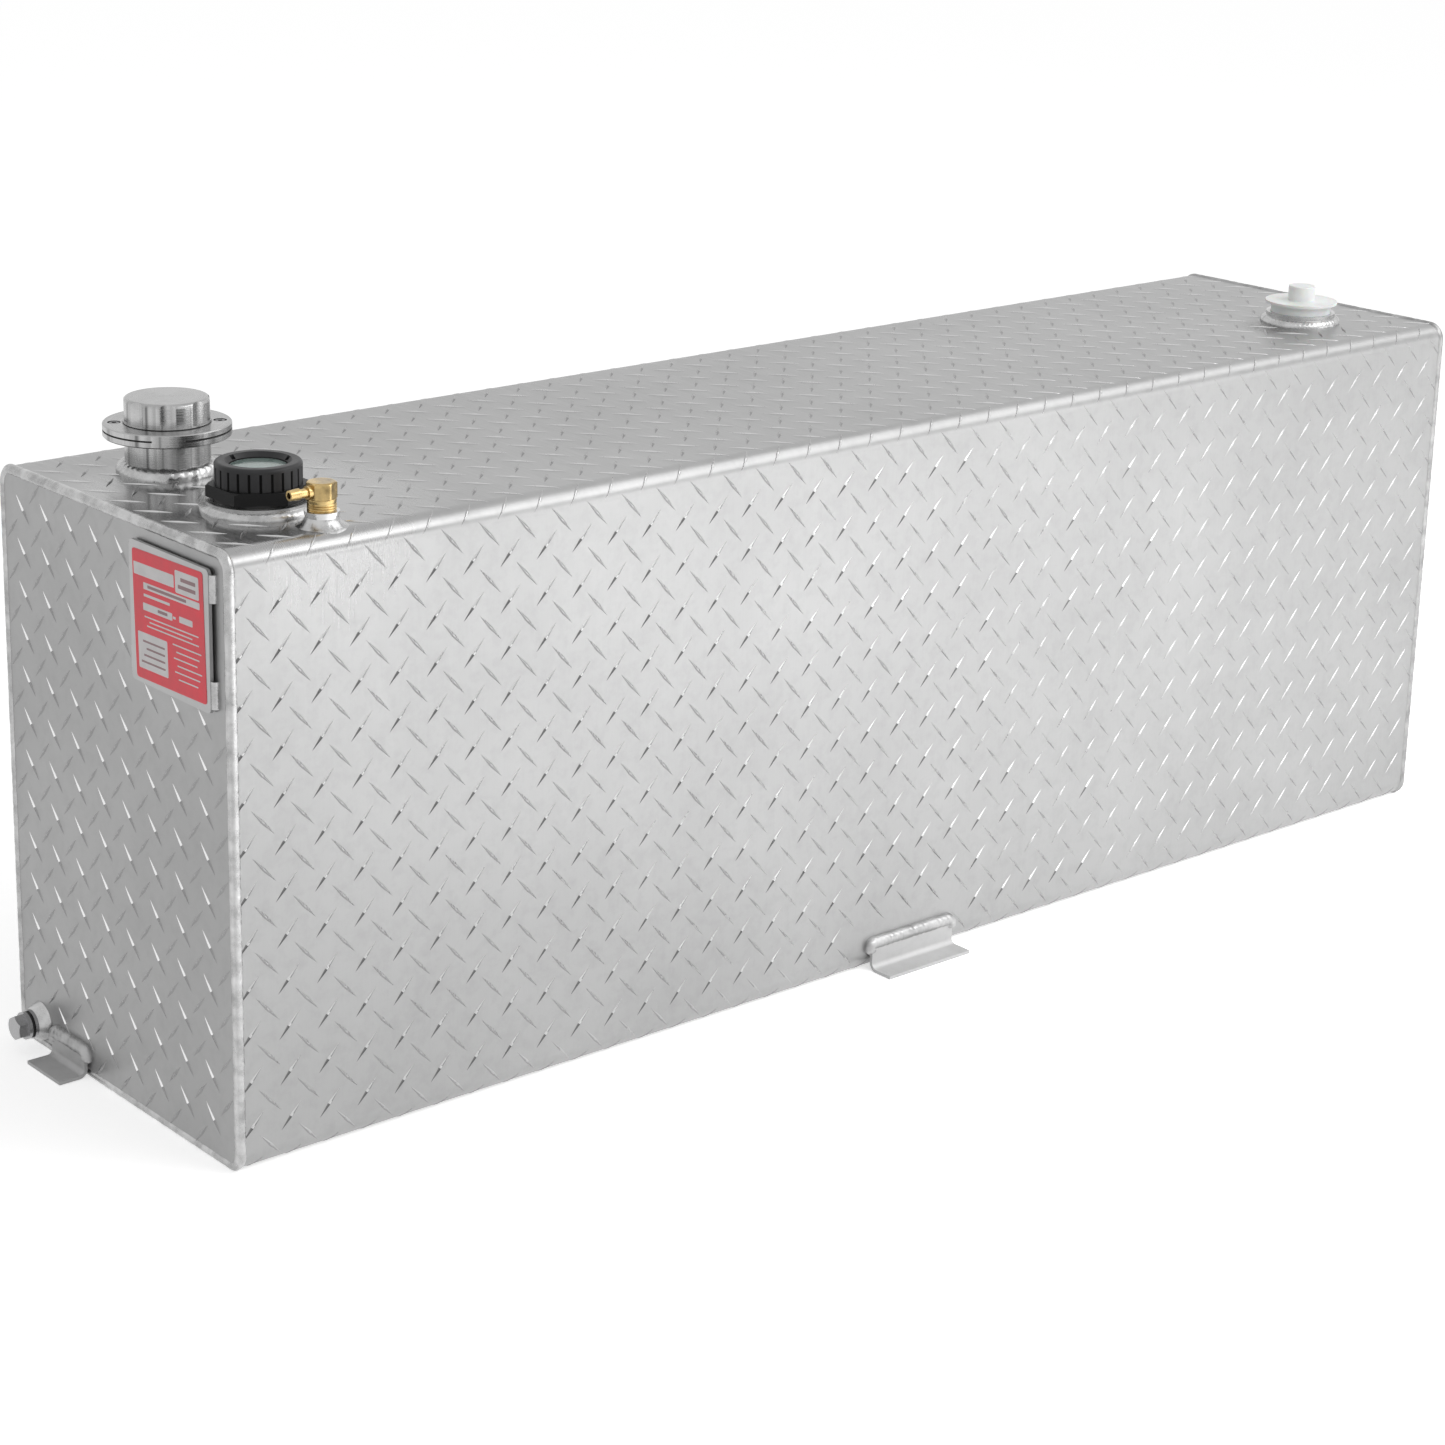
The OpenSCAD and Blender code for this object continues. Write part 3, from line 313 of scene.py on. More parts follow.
def painted_groove_shade(m, axis, edge, top):
    """Painted shade in the grooves of a ribbed ring: darker and duller within edge of the axis, below top."""
    x = m.node("ShaderNodeSeparateXYZ", {0: m.where(at=(-axis.x, -axis.y, 0))})
    r = m.from_axis(x)
    low = m.spread(x.outputs[2], 1.0, 0.0, top - 0.0002, top + 0.0002)
    mask = m.math("MULTIPLY", m.spread(r, 1.0, 0.0, edge - 0.0004, edge), low)
    was = m.shader.inputs["Base Color"].links[0].from_socket
    # painted shade: the grooves go near black
    m.colour(m.mix(mask, was, (0.012, 0.012, 0.012)))
    rough = m.shader.inputs["Roughness"].links[0].from_socket
    m.rough(m.math("ADD", rough, m.math("MULTIPLY", mask, 0.5), True))


ring_lo, ring_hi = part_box("gauge_lock_ring")
painted_groove_shade(RIBBED, GAUGE, (ring_hi.x - ring_lo.x) / 2 - 0.00012, ring_hi.z - 0.0038)

GLASS = Mat("gauge_window_plastic", (0.74, 0.83, 0.80), 0.0, 0.08, Transmission_Weight=0.72, IOR=1.49)
smear = GLASS.noise(GLASS.where(), 120.0, 4.0)
GLASS.rough(GLASS.spread(smear, 0.06, 0.20))
GLASS.colour(GLASS.mix(GLASS.spread(smear, 0, 1), (0.68, 0.78, 0.75), (0.80, 0.87, 0.85)))
GLASS.bump(smear, 0.1, 0.0001)


def give(mat, *nodes):
    for n in nodes:
        o = NODES[n]
        for s in o.material_slots:
            s.material = mat.material


give(ENDS, "end_cap_left", "end_cap_right")
give(TURNED, "fill_neck", "cap_ring", "fill_cap")
give(TURNED_G, "gauge_bung")
give(TURNED_V, "vent_bung")
give(TURNED_P, "pump_bung")
give(PLATE, "label_plate", "baffle_left", "baffle_right")
give(FOOT, "foot_front", "foot_left", "foot_right")
give(STEEL, "drain_boss", "drain_plug")
give(DARK_STEEL, "ring_screws")
give(BLACK, "gauge_body", "guide_foot")
give(RIBBED, "gauge_lock_ring")
give(RUBBER, "neck_gasket", "cap_seal", "gauge_seal", "drain_seal")
give(BRASS, "vent_elbow")
give(WHITE, "transport_plug")
give(RED, "label")
give(DIAL, "gauge_dial")
give(POINTER, "gauge_pointer")
give(FLOAT, "float")
give(KEY, "float_key")
give(STRIP, "twisted_strip", "guide_rods")
give(GLASS, "gauge_window")
give(WELD, "label_plate_welds", "drain_boss_weld")
give(SEAM, "seam_weld")


# Building pieces

def piece(name, verts, faces, mat, body, slot, replaces=(), smooth=True):
    me = bpy.data.meshes.new(name)
    me.from_pydata([tuple(v) for v in verts], [], faces)
    me.validate()
    me.update()
    if smooth:
        me.polygons.foreach_set("use_smooth", [True] * len(me.polygons))
    me.materials.append(mat.material)
    o = bpy.data.objects.new(name, me)
    bpy.context.scene.collection.objects.link(o)
    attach(o, body)
    if replaces:
        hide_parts(*replaces)
    return o


def grid_faces(rows, cols, closed=False):
    out = []
    for i in range(rows if closed else rows - 1):
        a, b = i * cols, (i + 1) % rows * cols
        out += [(a + j, b + j, b + j + 1, a + j + 1) for j in range(cols - 1)]
    return out


def grain(x, y, z, scale):
    return noise.noise(Vector((x * scale, y * scale, z * scale)))


# Tank sheet

LENGTH, WIDTH, HEIGHT, BEND = 1460.0, 345.0, 508.0, 16.0
HALF_X, HALF_Y = LENGTH / 2, WIDTH / 2
ARC = math.pi * BEND / 2
LUG_H, LIFT = 1.0, 1.0


def on_wrap(s, rise=0.0):
    """The y and z at a distance along the wrapped outline, with a rise off the sheet, all in mm.

    On the front, s is the height above the floor.
    """
    flat_t = WIDTH - 2 * BEND
    if s > HEIGHT - BEND:
        s -= HEIGHT - BEND
        if s < ARC:
            a = math.pi - s / BEND
            return -HALF_Y + BEND + (BEND + rise) * math.cos(a), HEIGHT - BEND + (BEND + rise) * math.sin(a)
        s -= ARC
        if s < flat_t:
            return -HALF_Y + BEND + s, HEIGHT + rise
        s -= flat_t
        if s < ARC:
            a = math.pi / 2 - s / BEND
            return HALF_Y - BEND + (BEND + rise) * math.cos(a), HEIGHT - BEND + (BEND + rise) * math.sin(a)
        s -= ARC
        return HALF_Y + rise, HEIGHT - BEND - s
    if s >= BEND:
        return -HALF_Y - rise, s
    s = BEND - s
    if s < ARC:
        a = math.pi + s / BEND
        y, z = -HALF_Y + BEND + (BEND + rise) * math.cos(a), BEND + (BEND + rise) * math.sin(a)
    elif s - ARC < flat_t:
        y, z = -HALF_Y + BEND + s - ARC, -rise
    elif s - ARC - flat_t < ARC:
        a = 1.5 * math.pi + (s - ARC - flat_t) / BEND
        y, z = HALF_Y - BEND + (BEND + rise) * math.cos(a), BEND + (BEND + rise) * math.sin(a)
    else:
        y, z = HALF_Y + rise, BEND + s - 2 * ARC - flat_t
    return y, z


# A lug's rows along its half length, and its columns as shares of its half width and of its height
LUG_ROWS = [-0.76, -0.46, -0.09, 0.09, 0.46, 0.76]
LUG_COLUMNS = [(-1.0, -0.10), (-0.22, 0.96), (0.22, 0.96), (1.0, -0.10)]
CREST_ROW = 2
TIP_DEPTH = 0.05
BRIGHT, LIGHT, MID, SOFT, GREY, DARK = range(6)
# Painted light and shade on a lug's facets per face of the tank, for rising and then for falling lugs: the
# near half's two flanks, the far half's two flanks, the crest. Lit facets are painted lighter and shaded
# facets darker.
LUG_PAINTED_SHADE = {
    "front": ((DARK, GREY, GREY, LIGHT, LIGHT), (SOFT, MID, SOFT, MID, MID)),
    "back": ((MID, SOFT, LIGHT, DARK, BRIGHT), (MID, GREY, MID, GREY, LIGHT)),
    "bottom": ((MID, GREY, MID, GREY, LIGHT), (GREY, MID, GREY, MID, LIGHT)),
    "top": ((GREY, SOFT, SOFT, SOFT, SOFT), (LIGHT, MID, LIGHT, MID, LIGHT)),
    "left": ((GREY, SOFT, BRIGHT, BRIGHT, BRIGHT), (SOFT, MID, SOFT, MID, MID)),
    "right": ((GREY, SOFT, LIGHT, MID, MID), (SOFT, MID, SOFT, MID, MID)),
}
# The painted light and shade on lugs on the middle and the right of the front has less contrast, and lugs on
# the front fold are painted lighter
MID_FRONT = ((DARK, GREY, MID, LIGHT, LIGHT), (SOFT, MID, MID, MID, MID))
FAR_FRONT = ((LIGHT, MID, LIGHT, MID, LIGHT), (MID, MID, SOFT, MID, MID))
FOLD = ((LIGHT, MID, LIGHT, MID, LIGHT), (MID, MID, LIGHT, LIGHT, LIGHT))


def flank(facet_shade, half_start, column):
    """Painted shade of one facet of a lug's half: a flank's own, or the darker one on the ridge."""
    if column == 0:
        return facet_shade[half_start]
    if column == 2:
        return facet_shade[half_start + 1]
    return max(facet_shade[half_start:half_start + 2])


def lug(group, place, along, across, facet_shade, half, wide):
    """One tread lug: a slender four-sided rhombus with hollow sides and a crest at its middle."""
    verts, faces, tones = group
    first = len(verts)
    for u in LUG_ROWS:
        w = wide * (1 - abs(u)) ** 0.95
        h = LUG_H * (1 - abs(u)) ** 0.7
        for v, k in LUG_COLUMNS:
            a = half * u * along[0] + w * v * across[0]
            b = half * u * along[1] + w * v * across[1]
            verts.append(place(a, b, h * k))
    n = len(LUG_COLUMNS)
    for i in range(len(LUG_ROWS) - 1):
        for j in range(n - 1):
            a, b = first + i * n + j, first + (i + 1) * n + j
            faces.append((a, b, b + 1, a + 1))
            crest = i == CREST_ROW and j == 1
            tones.append(facet_shade[4] if crest else flank(facet_shade, 2 if i >= CREST_ROW else 0, j))
    for end, row in ((-1, 0), (1, len(LUG_ROWS) - 1)):
        tip = len(verts)
        verts.append(place(half * end * along[0], half * end * along[1], -TIP_DEPTH))
        far = 2 if end > 0 else 0
        for j in range(n - 1):
            a, b = first + row * n + j, first + row * n + j + 1
            faces.append((tip, a, b) if end < 0 else (a, tip, b))
            tones.append(facet_shade[far + 1] if j == 2 else facet_shade[far])


def lug_piece(name, group):
    verts, faces, tones = group
    o = piece(name, verts, faces, LUGS[0], "tank", "tread_sheet", smooth=False)
    for m in LUGS[1:]:
        o.data.materials.append(m.material)
    o.data.polygons.foreach_set("material_index", tones)


# The tread's lattice on the wrapped sheet, in mm: x from the left end, s along the outline
PITCH_X, PITCH_S, LEAN_X, LEAN_S = 36.48, 38.85, -0.35, 0.06
TURN = math.radians(47.4)
RISE_DIR = ((math.cos(TURN), math.sin(TURN)), (-math.sin(TURN), math.cos(TURN)))
FALL_DIR = ((math.cos(TURN), -math.sin(TURN)), (math.sin(TURN), math.cos(TURN)))
RISING, FALLING = 0, 1
# Which way a lug runs, its directions, its half length, and where the lattice starts
WRAP_LATTICE = ((RISING, RISE_DIR, 15.2, 266.4, 271.8), (FALLING, FALL_DIR, 16.6, 246.1, 290.4))
WRAP_COLUMNS, WRAP_ROWS = range(-9, 35), range(-22, 25)
# Half widths of the lugs in mm: in general, on the top per way, on the middle of the front, on its right, on
# its fold
WIDE, TOP_WIDE, MID_WIDE, FAR_WIDE, FOLD_WIDE = 1.75, (2.1, 1.25), 1.45, 1.35, 1.5
# From the upper edge of the front on, the lattice lies further left
TOP_SHIFT, SHIFT_START, SHIFT_RUN = 3.5, 475, 40
# How far lugs keep from the corner welds and the seam, and their tips from the sheet's edge
WELD_MARGIN, SEAM_MARGIN, EDGE_GAP = 8.5, 9, 3
FOOT_HALF, FOOT_TOP = 62, 40
SEAM_HEIGHT = 70.0
# How much flatter the bend presses lugs, and how near a fold they lie for that
PRESSED, NEAR_FOLD = 0.4, 4
# No lugs within these distances of a fitting's axis
BARE = [(FILL, 44.0), (GAUGE, 49.0), (VENT, 24.0), (PUMP, 42.0)]
SEAM_S = (HEIGHT - BEND) + ARC + (WIDTH - 2 * BEND) + ARC + (HEIGHT - BEND - SEAM_HEIGHT)
END_S = SEAM_S - (2 * (HEIGHT - 2 * BEND) + 2 * (WIDTH - 2 * BEND) + 4 * ARC)


def within(v, limit):
    return max(-limit, min(limit, v))


def wrap_bare(x, s, y, z):
    """Whether a weld, the seam, a fitting or the front foot keeps a place on the wrap free of lugs."""
    if abs(x) > HALF_X - WELD_MARGIN or s < END_S + SEAM_MARGIN or s > SEAM_S - SEAM_MARGIN:
        return True
    if z > HEIGHT - BEND and any(math.hypot(x - c.x * 1000, y - c.y * 1000) < r for c, r in BARE):
        return True
    return z < FOOT_TOP and y < -HALF_Y + 1 and abs(x) < FOOT_HALF


def wrap_painted_lug_shade(side, way, x, s, y, z):
    """The painted light and shade of a lug's facets and its half width; on the front, the painted contrast
    falls to the right, and lugs on the front fold are painted lighter.
    """
    tones, wide = LUG_PAINTED_SHADE[side][way], WIDE
    if side == "top":
        wide = TOP_WIDE[way]
    if side == "front" and grain(x, s, 5, 0.9) < (x + 150) / 400 - (s - 250) / 500:
        tones, wide = MID_FRONT[way], MID_WIDE
    if side == "front" and x > 0 and grain(x, s, 0, 0.9) < (x - 120) / 500:
        tones, wide = FAR_FRONT[way], FAR_WIDE
    if y < -HALF_Y + BEND and z > HEIGHT - BEND:
        tones, wide = FOLD[way], FOLD_WIDE
    return tones, wide


def wrap_lugs():
    groups = {side: ([], [], []) for side in ("front", "top", "back", "bottom")}
    places = [(kind, i, j) for kind in WRAP_LATTICE for i in WRAP_COLUMNS for j in WRAP_ROWS]
    for (way, directions, half, x0, s0), i, j in places:
        x, s = x0 + PITCH_X * i + LEAN_X * j - HALF_X, s0 + PITCH_S * j + LEAN_S * i
        x -= TOP_SHIFT * min(1, max(0, (s - SHIFT_START) / SHIFT_RUN))
        y, z = on_wrap(s)
        if wrap_bare(x, s, y, z):
            continue
        side = "top" if z > HEIGHT - 8 else "bottom" if z < 8 else "front" if y < 0 else "back"

        # the lugs on the back and lower folds lie flatter
        on_fold = abs(y) > HALF_Y - BEND - NEAR_FOLD and (z < BEND + 3 or y > 0 and z > HEIGHT - BEND)
        flat = PRESSED if on_fold else 1.0

        def place(a, b, h, x=x, s=s, flat=flat):
            yy, zz = on_wrap(s + b, h * flat)
            if zz < LIFT:
                zz = max(0.0, zz + LIFT) if abs(yy) < HALF_Y - BEND + NEAR_FOLD else max(zz, 0.0)
            return within(x + a, HALF_X - EDGE_GAP) * MM, yy * MM, zz * MM
        tones, wide = wrap_painted_lug_shade(side, way, x, s, y, z)
        lug(groups[side], place, *directions, tones, half, wide)
    for side, group in groups.items():
        lug_piece("tread_lugs_" + side, group)


# The same for the ends, in mm: y from the front, z up; then the half length and the half width
END_PITCH_Y, END_PITCH_Z = 38.9, 36.72
END_LATTICE = ((RISING, RISE_DIR, 153.5, 292.2, 15.8, 1.6), (FALLING, FALL_DIR, 172.0, 309.4, 14.6, 2.1))
END_COLUMNS, END_ROWS = range(-5, 7), range(-9, 8)
END_MARGIN, CORNER_MARGIN = 12, 24
# What else keeps lugs off an end: the label plate, the foot and the drain, in y and z
PLATE_Y, PLATE_Z, PLATE_CORNER = (-161, -31), (370, 500), (-39, 376)
END_FOOT_Y, END_FOOT_TOP = (48, 124), 30
DRAIN_Y, DRAIN_Z, DRAIN_CLEAR = 137.5, 23, 26


def end_bare(sx, y, z):
    """Whether the weld, the label plate, a foot or the drain keeps a place on an end free of lugs."""
    dy, dz = HALF_Y - abs(y), min(z, HEIGHT - z)
    if min(dy, dz) < END_MARGIN or max(dy, dz) < CORNER_MARGIN:
        return True
    if z < END_FOOT_TOP and END_FOOT_Y[0] < y < END_FOOT_Y[1]:
        return True
    if sx > 0:
        return False
    under_plate = PLATE_Y[0] < y < PLATE_Y[1] and PLATE_Z[0] < z < PLATE_Z[1]
    if under_plate and not (y < PLATE_CORNER[0] and z < PLATE_CORNER[1]):
        return True
    return math.hypot(y - DRAIN_Y, z - DRAIN_Z) < DRAIN_CLEAR


def end_lugs():
    places = [(kind, i, j) for kind in END_LATTICE for i in END_COLUMNS for j in END_ROWS]
    for name, sx in (("left", -1), ("right", 1)):
        group = ([], [], [])
        for (way, directions, y0, z0, half, wide), i, j in places:
            y, z = y0 + END_PITCH_Y * i - HALF_Y, z0 + END_PITCH_Z * j
            if end_bare(sx, y, z):
                continue

            def place(a, b, h, y=y, z=z):
                up = HEIGHT / 2 + within(z + b - HEIGHT / 2, HEIGHT / 2 - EDGE_GAP)
                return sx * (HALF_X + h) * MM, within(y + a, HALF_Y - EDGE_GAP) * MM, up * MM
            lug(group, place, *directions, LUG_PAINTED_SHADE[name][way], half, wide)
        lug_piece("tread_lugs_" + name, group)


def wrap_sheet():
    """The wrapped sheet with its underside raised by a lug's height, so that the tank stands on its lugs."""
    me = NODES["tank_wrap"].data.copy()
    me.name = "tread_sheet_wrap"
    for v in me.vertices:
        if v.co.z < LIFT * MM:
            v.co.z = LIFT * MM
    o = bpy.data.objects.new("tread_sheet_wrap", me)
    bpy.context.scene.collection.objects.link(o)
    me.materials.clear()
    me.materials.append(TREAD.material)
    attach(o, "tank")
    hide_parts("tank_wrap")


wrap_sheet()
wrap_lugs()
end_lugs()


# Welds

def ripple(p, t, step):
    """Height of a stacked weld bead at p mm along it; t runs 0..1 across it."""
    q = (p + step * 1.5 * (2 * t - 1) ** 2) / step + 0.7 * noise.noise(Vector((p * 0.09 / step, 5.0, t)))
    return 1 - abs(2 * (q - math.floor(q)) - 1) ** 1.6


def tube_sweep(path, radius, arc, step, depth, lumps, seed, closed, cols, floor=None, crease=0.0):
    """A rippled bead along a path of (point, side, up) in mm; its section is an arc in that frame."""
    verts, run = [], 0.0
    for i, (p, side, up) in enumerate(path):
        if i:
            run += (p - path[i - 1][0]).length
        lump = 1 + lumps * grain(run + seed, seed, 0, 0.11) + 0.5 * lumps * grain(run, seed, 9, 0.37)
        for j in range(cols):
            t = j / (cols - 1)
            a = arc[0] + (arc[1] - arc[0]) * t
            r = (radius - depth + depth * ripple(run, t, step)) * lump
            r = min(r, radius) - crease * math.exp(-((t - 0.54) / 0.07) ** 2)
            q = p + side * (r * math.cos(a)) + up * (r * math.sin(a))
            if floor is not None and q.z < floor:
                q.z = floor
            verts.append(q * MM)
    return verts, grid_faces(len(path), cols, closed)


def rounded_path(hy, hz, cz, r, step):
    """Points of a rounded rectangle in y, z with their outward normals."""
    out = []
    corners = ((hy - r, cz + hz - r, 0), (-hy + r, cz + hz - r, 90),
               (-hy + r, cz - hz + r, 180), (hy - r, cz - hz + r, 270))
    n = max(3, int(math.pi * r / 2 / step))
    for cy, ccz, a0 in corners:
        out += [(Vector((0, cy, ccz)), math.radians(a0 + 90 * k / n)) for k in range(n + 1)]
    normals = [Vector((0, math.cos(a), math.sin(a))) for c, a in out]
    pts = [(c + normal * r, normal) for (c, a), normal in zip(out, normals)]
    full = []
    for k, (p, n) in enumerate(pts):
        p2, n2 = pts[(k + 1) % len(pts)]
        d = (p2 - p).length
        m = max(1, int(round(d / step)))
        for q in range(m):
            full.append((p.lerp(p2, q / m), n.lerp(n2, q / m).normalized()))
    return full


def corner_welds():
    inset = 2.9
    arc = (math.radians(-62), math.radians(152))
    for name, sx in (("left", -1), ("right", 1)):
        pts = rounded_path(HALF_Y - inset, HEIGHT / 2 - inset, HEIGHT / 2, BEND - inset, 0.85)
        out = Vector((sx, 0, 0))
        path = [(p + out * (HALF_X - inset), n, out) for p, n in pts]
        v, f = tube_sweep(path, 4.6, arc, 9.0, 0.14, 0.06, 3.0 + sx, True, 21, 0.0, 0.9)
        piece("corner_weld_" + name, v, f, SEAM if sx > 0 else WELD, "tank", "weld", ["end_weld_" + name])


def ring_bead(name, at, r0, w, h, step, depth, lumps, node, level=None, hollow=0.0):
    """A rippled bead round a tube on the tank's top; level(x, y) is how far the sheet drops there, in mm."""
    n = int(2 * math.pi * (r0 + w) / step * 6)
    cols, verts = 10, []
    inside, sunk = 0.4, -0.5
    ripples = round(2 * math.pi * (r0 + w / 2) / step)
    for i in range(n):
        fi = 2 * math.pi * i / n
        c, s = math.cos(fi), math.sin(fi)
        lump = lumps * noise.noise(Vector((c * 2.1 + r0, s * 2.1, 1.3)))
        lump += 0.6 * lumps * noise.noise(Vector((c * 6.0, s * 6.0 + r0, 4.7)))
        for j in range(cols):
            t = j / (cols - 1)
            a = t * math.pi / 2
            dip = depth * (1 - ripple(ripples * i / n, t, 1.0))
            k = 1 + lump - dip * math.sin(math.pi * min(1, t * 1.15 + 0.05))
            rr, zz = math.sin(a), math.cos(a)
            if hollow:
                rh, zh = 1 - math.cos(a), 1 - math.sin(a)
                rr, zz = rr + (rh - rr) * hollow, zz + (zh - zz) * hollow
            r, z = r0 - inside + (w + inside) * rr * k, h * zz * (0.6 + 0.4 * k)
            if j == cols - 1:
                z = sunk
            drop = level(c * r, s * r) if level else 0.0
            verts.append((Vector((c * r, s * r, z - drop * min(1, t * 1.4))) + Vector(at)) * MM)
    faces = [tuple(reversed(q)) for q in grid_faces(n, cols, True)]
    piece(name, verts, faces, WELD, "tank", "weld", [node])


def fold_drop(cy):
    def level(x, y):
        e = -(HALF_Y - BEND) - (cy + y)
        return 0.0 if e <= 0 else BEND - math.sqrt(max(0.0, BEND * BEND - e * e))
    return level


# A foot's bead in mm: its corner radius, how far down it runs, its step, how far off the tank its middle
# lies and how far below its ends the closing points lie; then its columns, and the points up an end and
# round a corner
BEAD_TURN, BEAD_RISE, BEAD_STEP, BEAD_OUT, BEAD_TIP = 4.0, 7, 0.7, 1.5, 4.5
BEAD_COLS, END_POINTS, TURN_POINTS = 13, 8, 9


def foot_bead_line(width, top):
    """The bead's middle line on a foot: up its left edge, along its top edge and down its right edge."""
    turn = BEAD_TURN
    rise = BEAD_RISE - turn
    left = [(-width / 2, top - BEAD_RISE + k * rise / (END_POINTS - 0.5)) for k in range(END_POINTS)]
    for k in range(TURN_POINTS):
        a = math.pi - math.pi / 2 * k / (TURN_POINTS - 1)
        left.append((-width / 2 + turn + turn * math.cos(a), top - turn + turn * math.sin(a)))
    n = int((width - 2 * turn) / BEAD_STEP)
    across = [(-width / 2 + turn + (width - 2 * turn) * k / n, top) for k in range(1, n)]
    return left + across + [(-a, b) for a, b in reversed(left)]


def foot_bead(node, face, out, along):
    """The bead round one foot: face is how far the tank's side lies from the middle, out points off it."""
    lo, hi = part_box(node)
    mid = (lo + hi) / 2 * 1000
    across_x = abs(along.x) > 0.5
    width = ((hi - lo).x if across_x else (hi - lo).y) * 1000
    origin = Vector((mid.x, face, 0)) if across_x else Vector((face, mid.y, 0))
    points = foot_bead_line(width, hi.z * 1000)
    path = []
    for k, (a, b) in enumerate(points):
        a0, b0 = points[max(0, k - 1)]
        a1, b1 = points[min(len(points) - 1, k + 1)]
        t = Vector((a1 - a0, b1 - b0)).normalized()
        p = origin + along * a + Vector((0, 0, b)) + out * BEAD_OUT
        path.append((p, along * -t.y + Vector((0, 0, 1)) * t.x, out))
    arc = (math.radians(-20), math.radians(200))
    verts, faces = tube_sweep(path, 6.0, arc, 6.0, 0.5, 0.12, width, False, BEAD_COLS)

    # each end of the bead closes in a point below it
    for end in (0, len(path) - 1):
        verts.append((path[end][0] + Vector((0, 0, -1)) * BEAD_TIP) * MM)
        tip = len(verts) - 1
        for j in range(end * BEAD_COLS, end * BEAD_COLS + BEAD_COLS - 1):
            faces.append((j, j + 1, tip) if end == 0 else (j + 1, j, tip))
    return verts, faces


def foot_beads():
    verts, faces = [], []
    feet = (("foot_front", -HALF_Y, Vector((0, -1, 0)), Vector((1, 0, 0))),
            ("foot_left", -HALF_X, Vector((-1, 0, 0)), Vector((0, -1, 0))),
            ("foot_right", HALF_X, Vector((1, 0, 0)), Vector((0, 1, 0))))
    for foot in feet:
        v, f = foot_bead(*foot)
        start = len(verts)
        verts += v
        faces += [tuple(i + start for i in q) for q in f]
    piece("foot_weld_beads", verts, faces, FOOT_WELD, "tank", "weld", ["foot_welds"])


corner_welds()
foot_beads()


def on_top(fitting):
    return fitting.x * 1000, fitting.y * 1000, HEIGHT


# Inner radius, width, height and ripple pitch of each round bead in mm, then its ripple depth and lumps as
# shares of its size
ring_bead("fill_neck_bead", on_top(FILL), 35.0, 7.3, 10.2, 7.0, 0.12, 0.22, "fill_neck_weld")
ring_bead("gauge_bung_bead", on_top(GAUGE), 41.9, 5.6, 5.8, 5.5, 0.10, 0.14, "gauge_bung_weld")
ring_bead("pump_bung_bead", on_top(PUMP), 34.5, 5.6, 6.6, 4.5, 0.10, 0.10, "pump_bung_weld")
ring_bead("vent_bung_bead", on_top(VENT), 13.2, 8.6, 9.0, 5.0, 0.04, 0.07, "vent_bung_weld",
          level=fold_drop(VENT.y * 1000), hollow=0.9)


def elbow_thread():
    """Thread turns that show between the vent bung and the elbow's hexagon, and a plain collar above them."""
    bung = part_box("vent_bung")[1].z * 1000
    lo, hi = bung + 0.2, bung + 9.8
    pitch, collar_up, collar_blend = 1.9, 5.6, 0.6
    core, depth, end_radius = 10.75, 0.85, 10.2
    n, rows, verts = 72, 66, []
    for k in range(rows):
        z = lo + (hi - lo) * k / (rows - 1)
        for i in range(n + 1):
            a = 2 * math.pi * i / n
            q = ((z - lo) / pitch + i / n) % 1.0
            ridge = min(1.0, 1.7 * (1 - abs(2 * q - 1)))
            flat = max(0.0, min(1.0, (z - bung - collar_up) / collar_blend))
            collar = 0.75 + 0.25 * math.sin((z - bung) * 0.9)
            r = core + depth * (ridge * (1 - flat) + flat * collar)
            if k in (0, rows - 1):
                r = end_radius
            verts.append(Vector((VENT.x * 1000 + r * math.cos(a), VENT.y * 1000 + r * math.sin(a), z)) * MM)
    faces = [tuple(reversed(q)) for q in grid_faces(rows, n + 1)]
    piece("elbow_thread_turns", verts, faces, BRASS, "tank", "brass")


elbow_thread()


# Label print

# Blocks on the label in mm: y from the tank's front, z up, and the corners' radius
WHITE_BLOCKS = [
    (31.5, 65, 464, 482, 1.5),
    (31, 112, 457, 462.5, 0.8),
    (71, 113.6, 440, 446, 0.8),
    (42, 61, 441, 446, 0.8),
    (80, 123, 392, 421.5, 1.2),
    (67, 125.5, 467, 477, 1.0),
    (74, 112, 451.2, 453.4, 0.4),
    (66, 70, 442, 444, 0.4),
]
WHITE_BLOCKS += [(34 + k % 2 * 9, 112 - k * 7 % 11, 434.5 - k * 3.6, 435.6 - k * 3.6, 0.3) for k in range(3)]
WHITE_BLOCKS += [(31 + k % 3 * 3, 72 - k * 5 % 9, 421 - k * 5.4, 422.1 - k * 5.4, 0.3) for k in range(6)]
GREY_BLOCKS = [(84, 119 - k * 4 % 9, 397 + k * 5.6, 398.6 + k * 5.6, 0.3) for k in range(4)]
GREY_BLOCKS += [(36, 61 - 4 * k, 468 + k * 6, 471 + k * 6, 0.3) for k in range(2)]
GREY_BLOCKS += [(50, 106, 458.6, 461, 0.3), (78, 92, 442, 444.4, 0.3)]
PRINT_OFF, PRINT_DEEP, GREY_OFF = 0.06, 0.05, 0.04


def label_tilt():
    """The label's turn in its own plane, from its longest edge that lies nearly level."""
    me = NODES["label"].data
    tilt, longest = 0.0, 0
    for e in me.edges:
        a, b = (me.vertices[i].co for i in e.vertices)
        d = b - a
        if abs(d.y) > 8 * abs(d.z) and d.length > longest and abs(d.x) < 1e-5:
            longest = d.length
            tilt = math.atan2(d.z, d.y) if d.y > 0 else math.atan2(-d.z, -d.y)
    return tilt


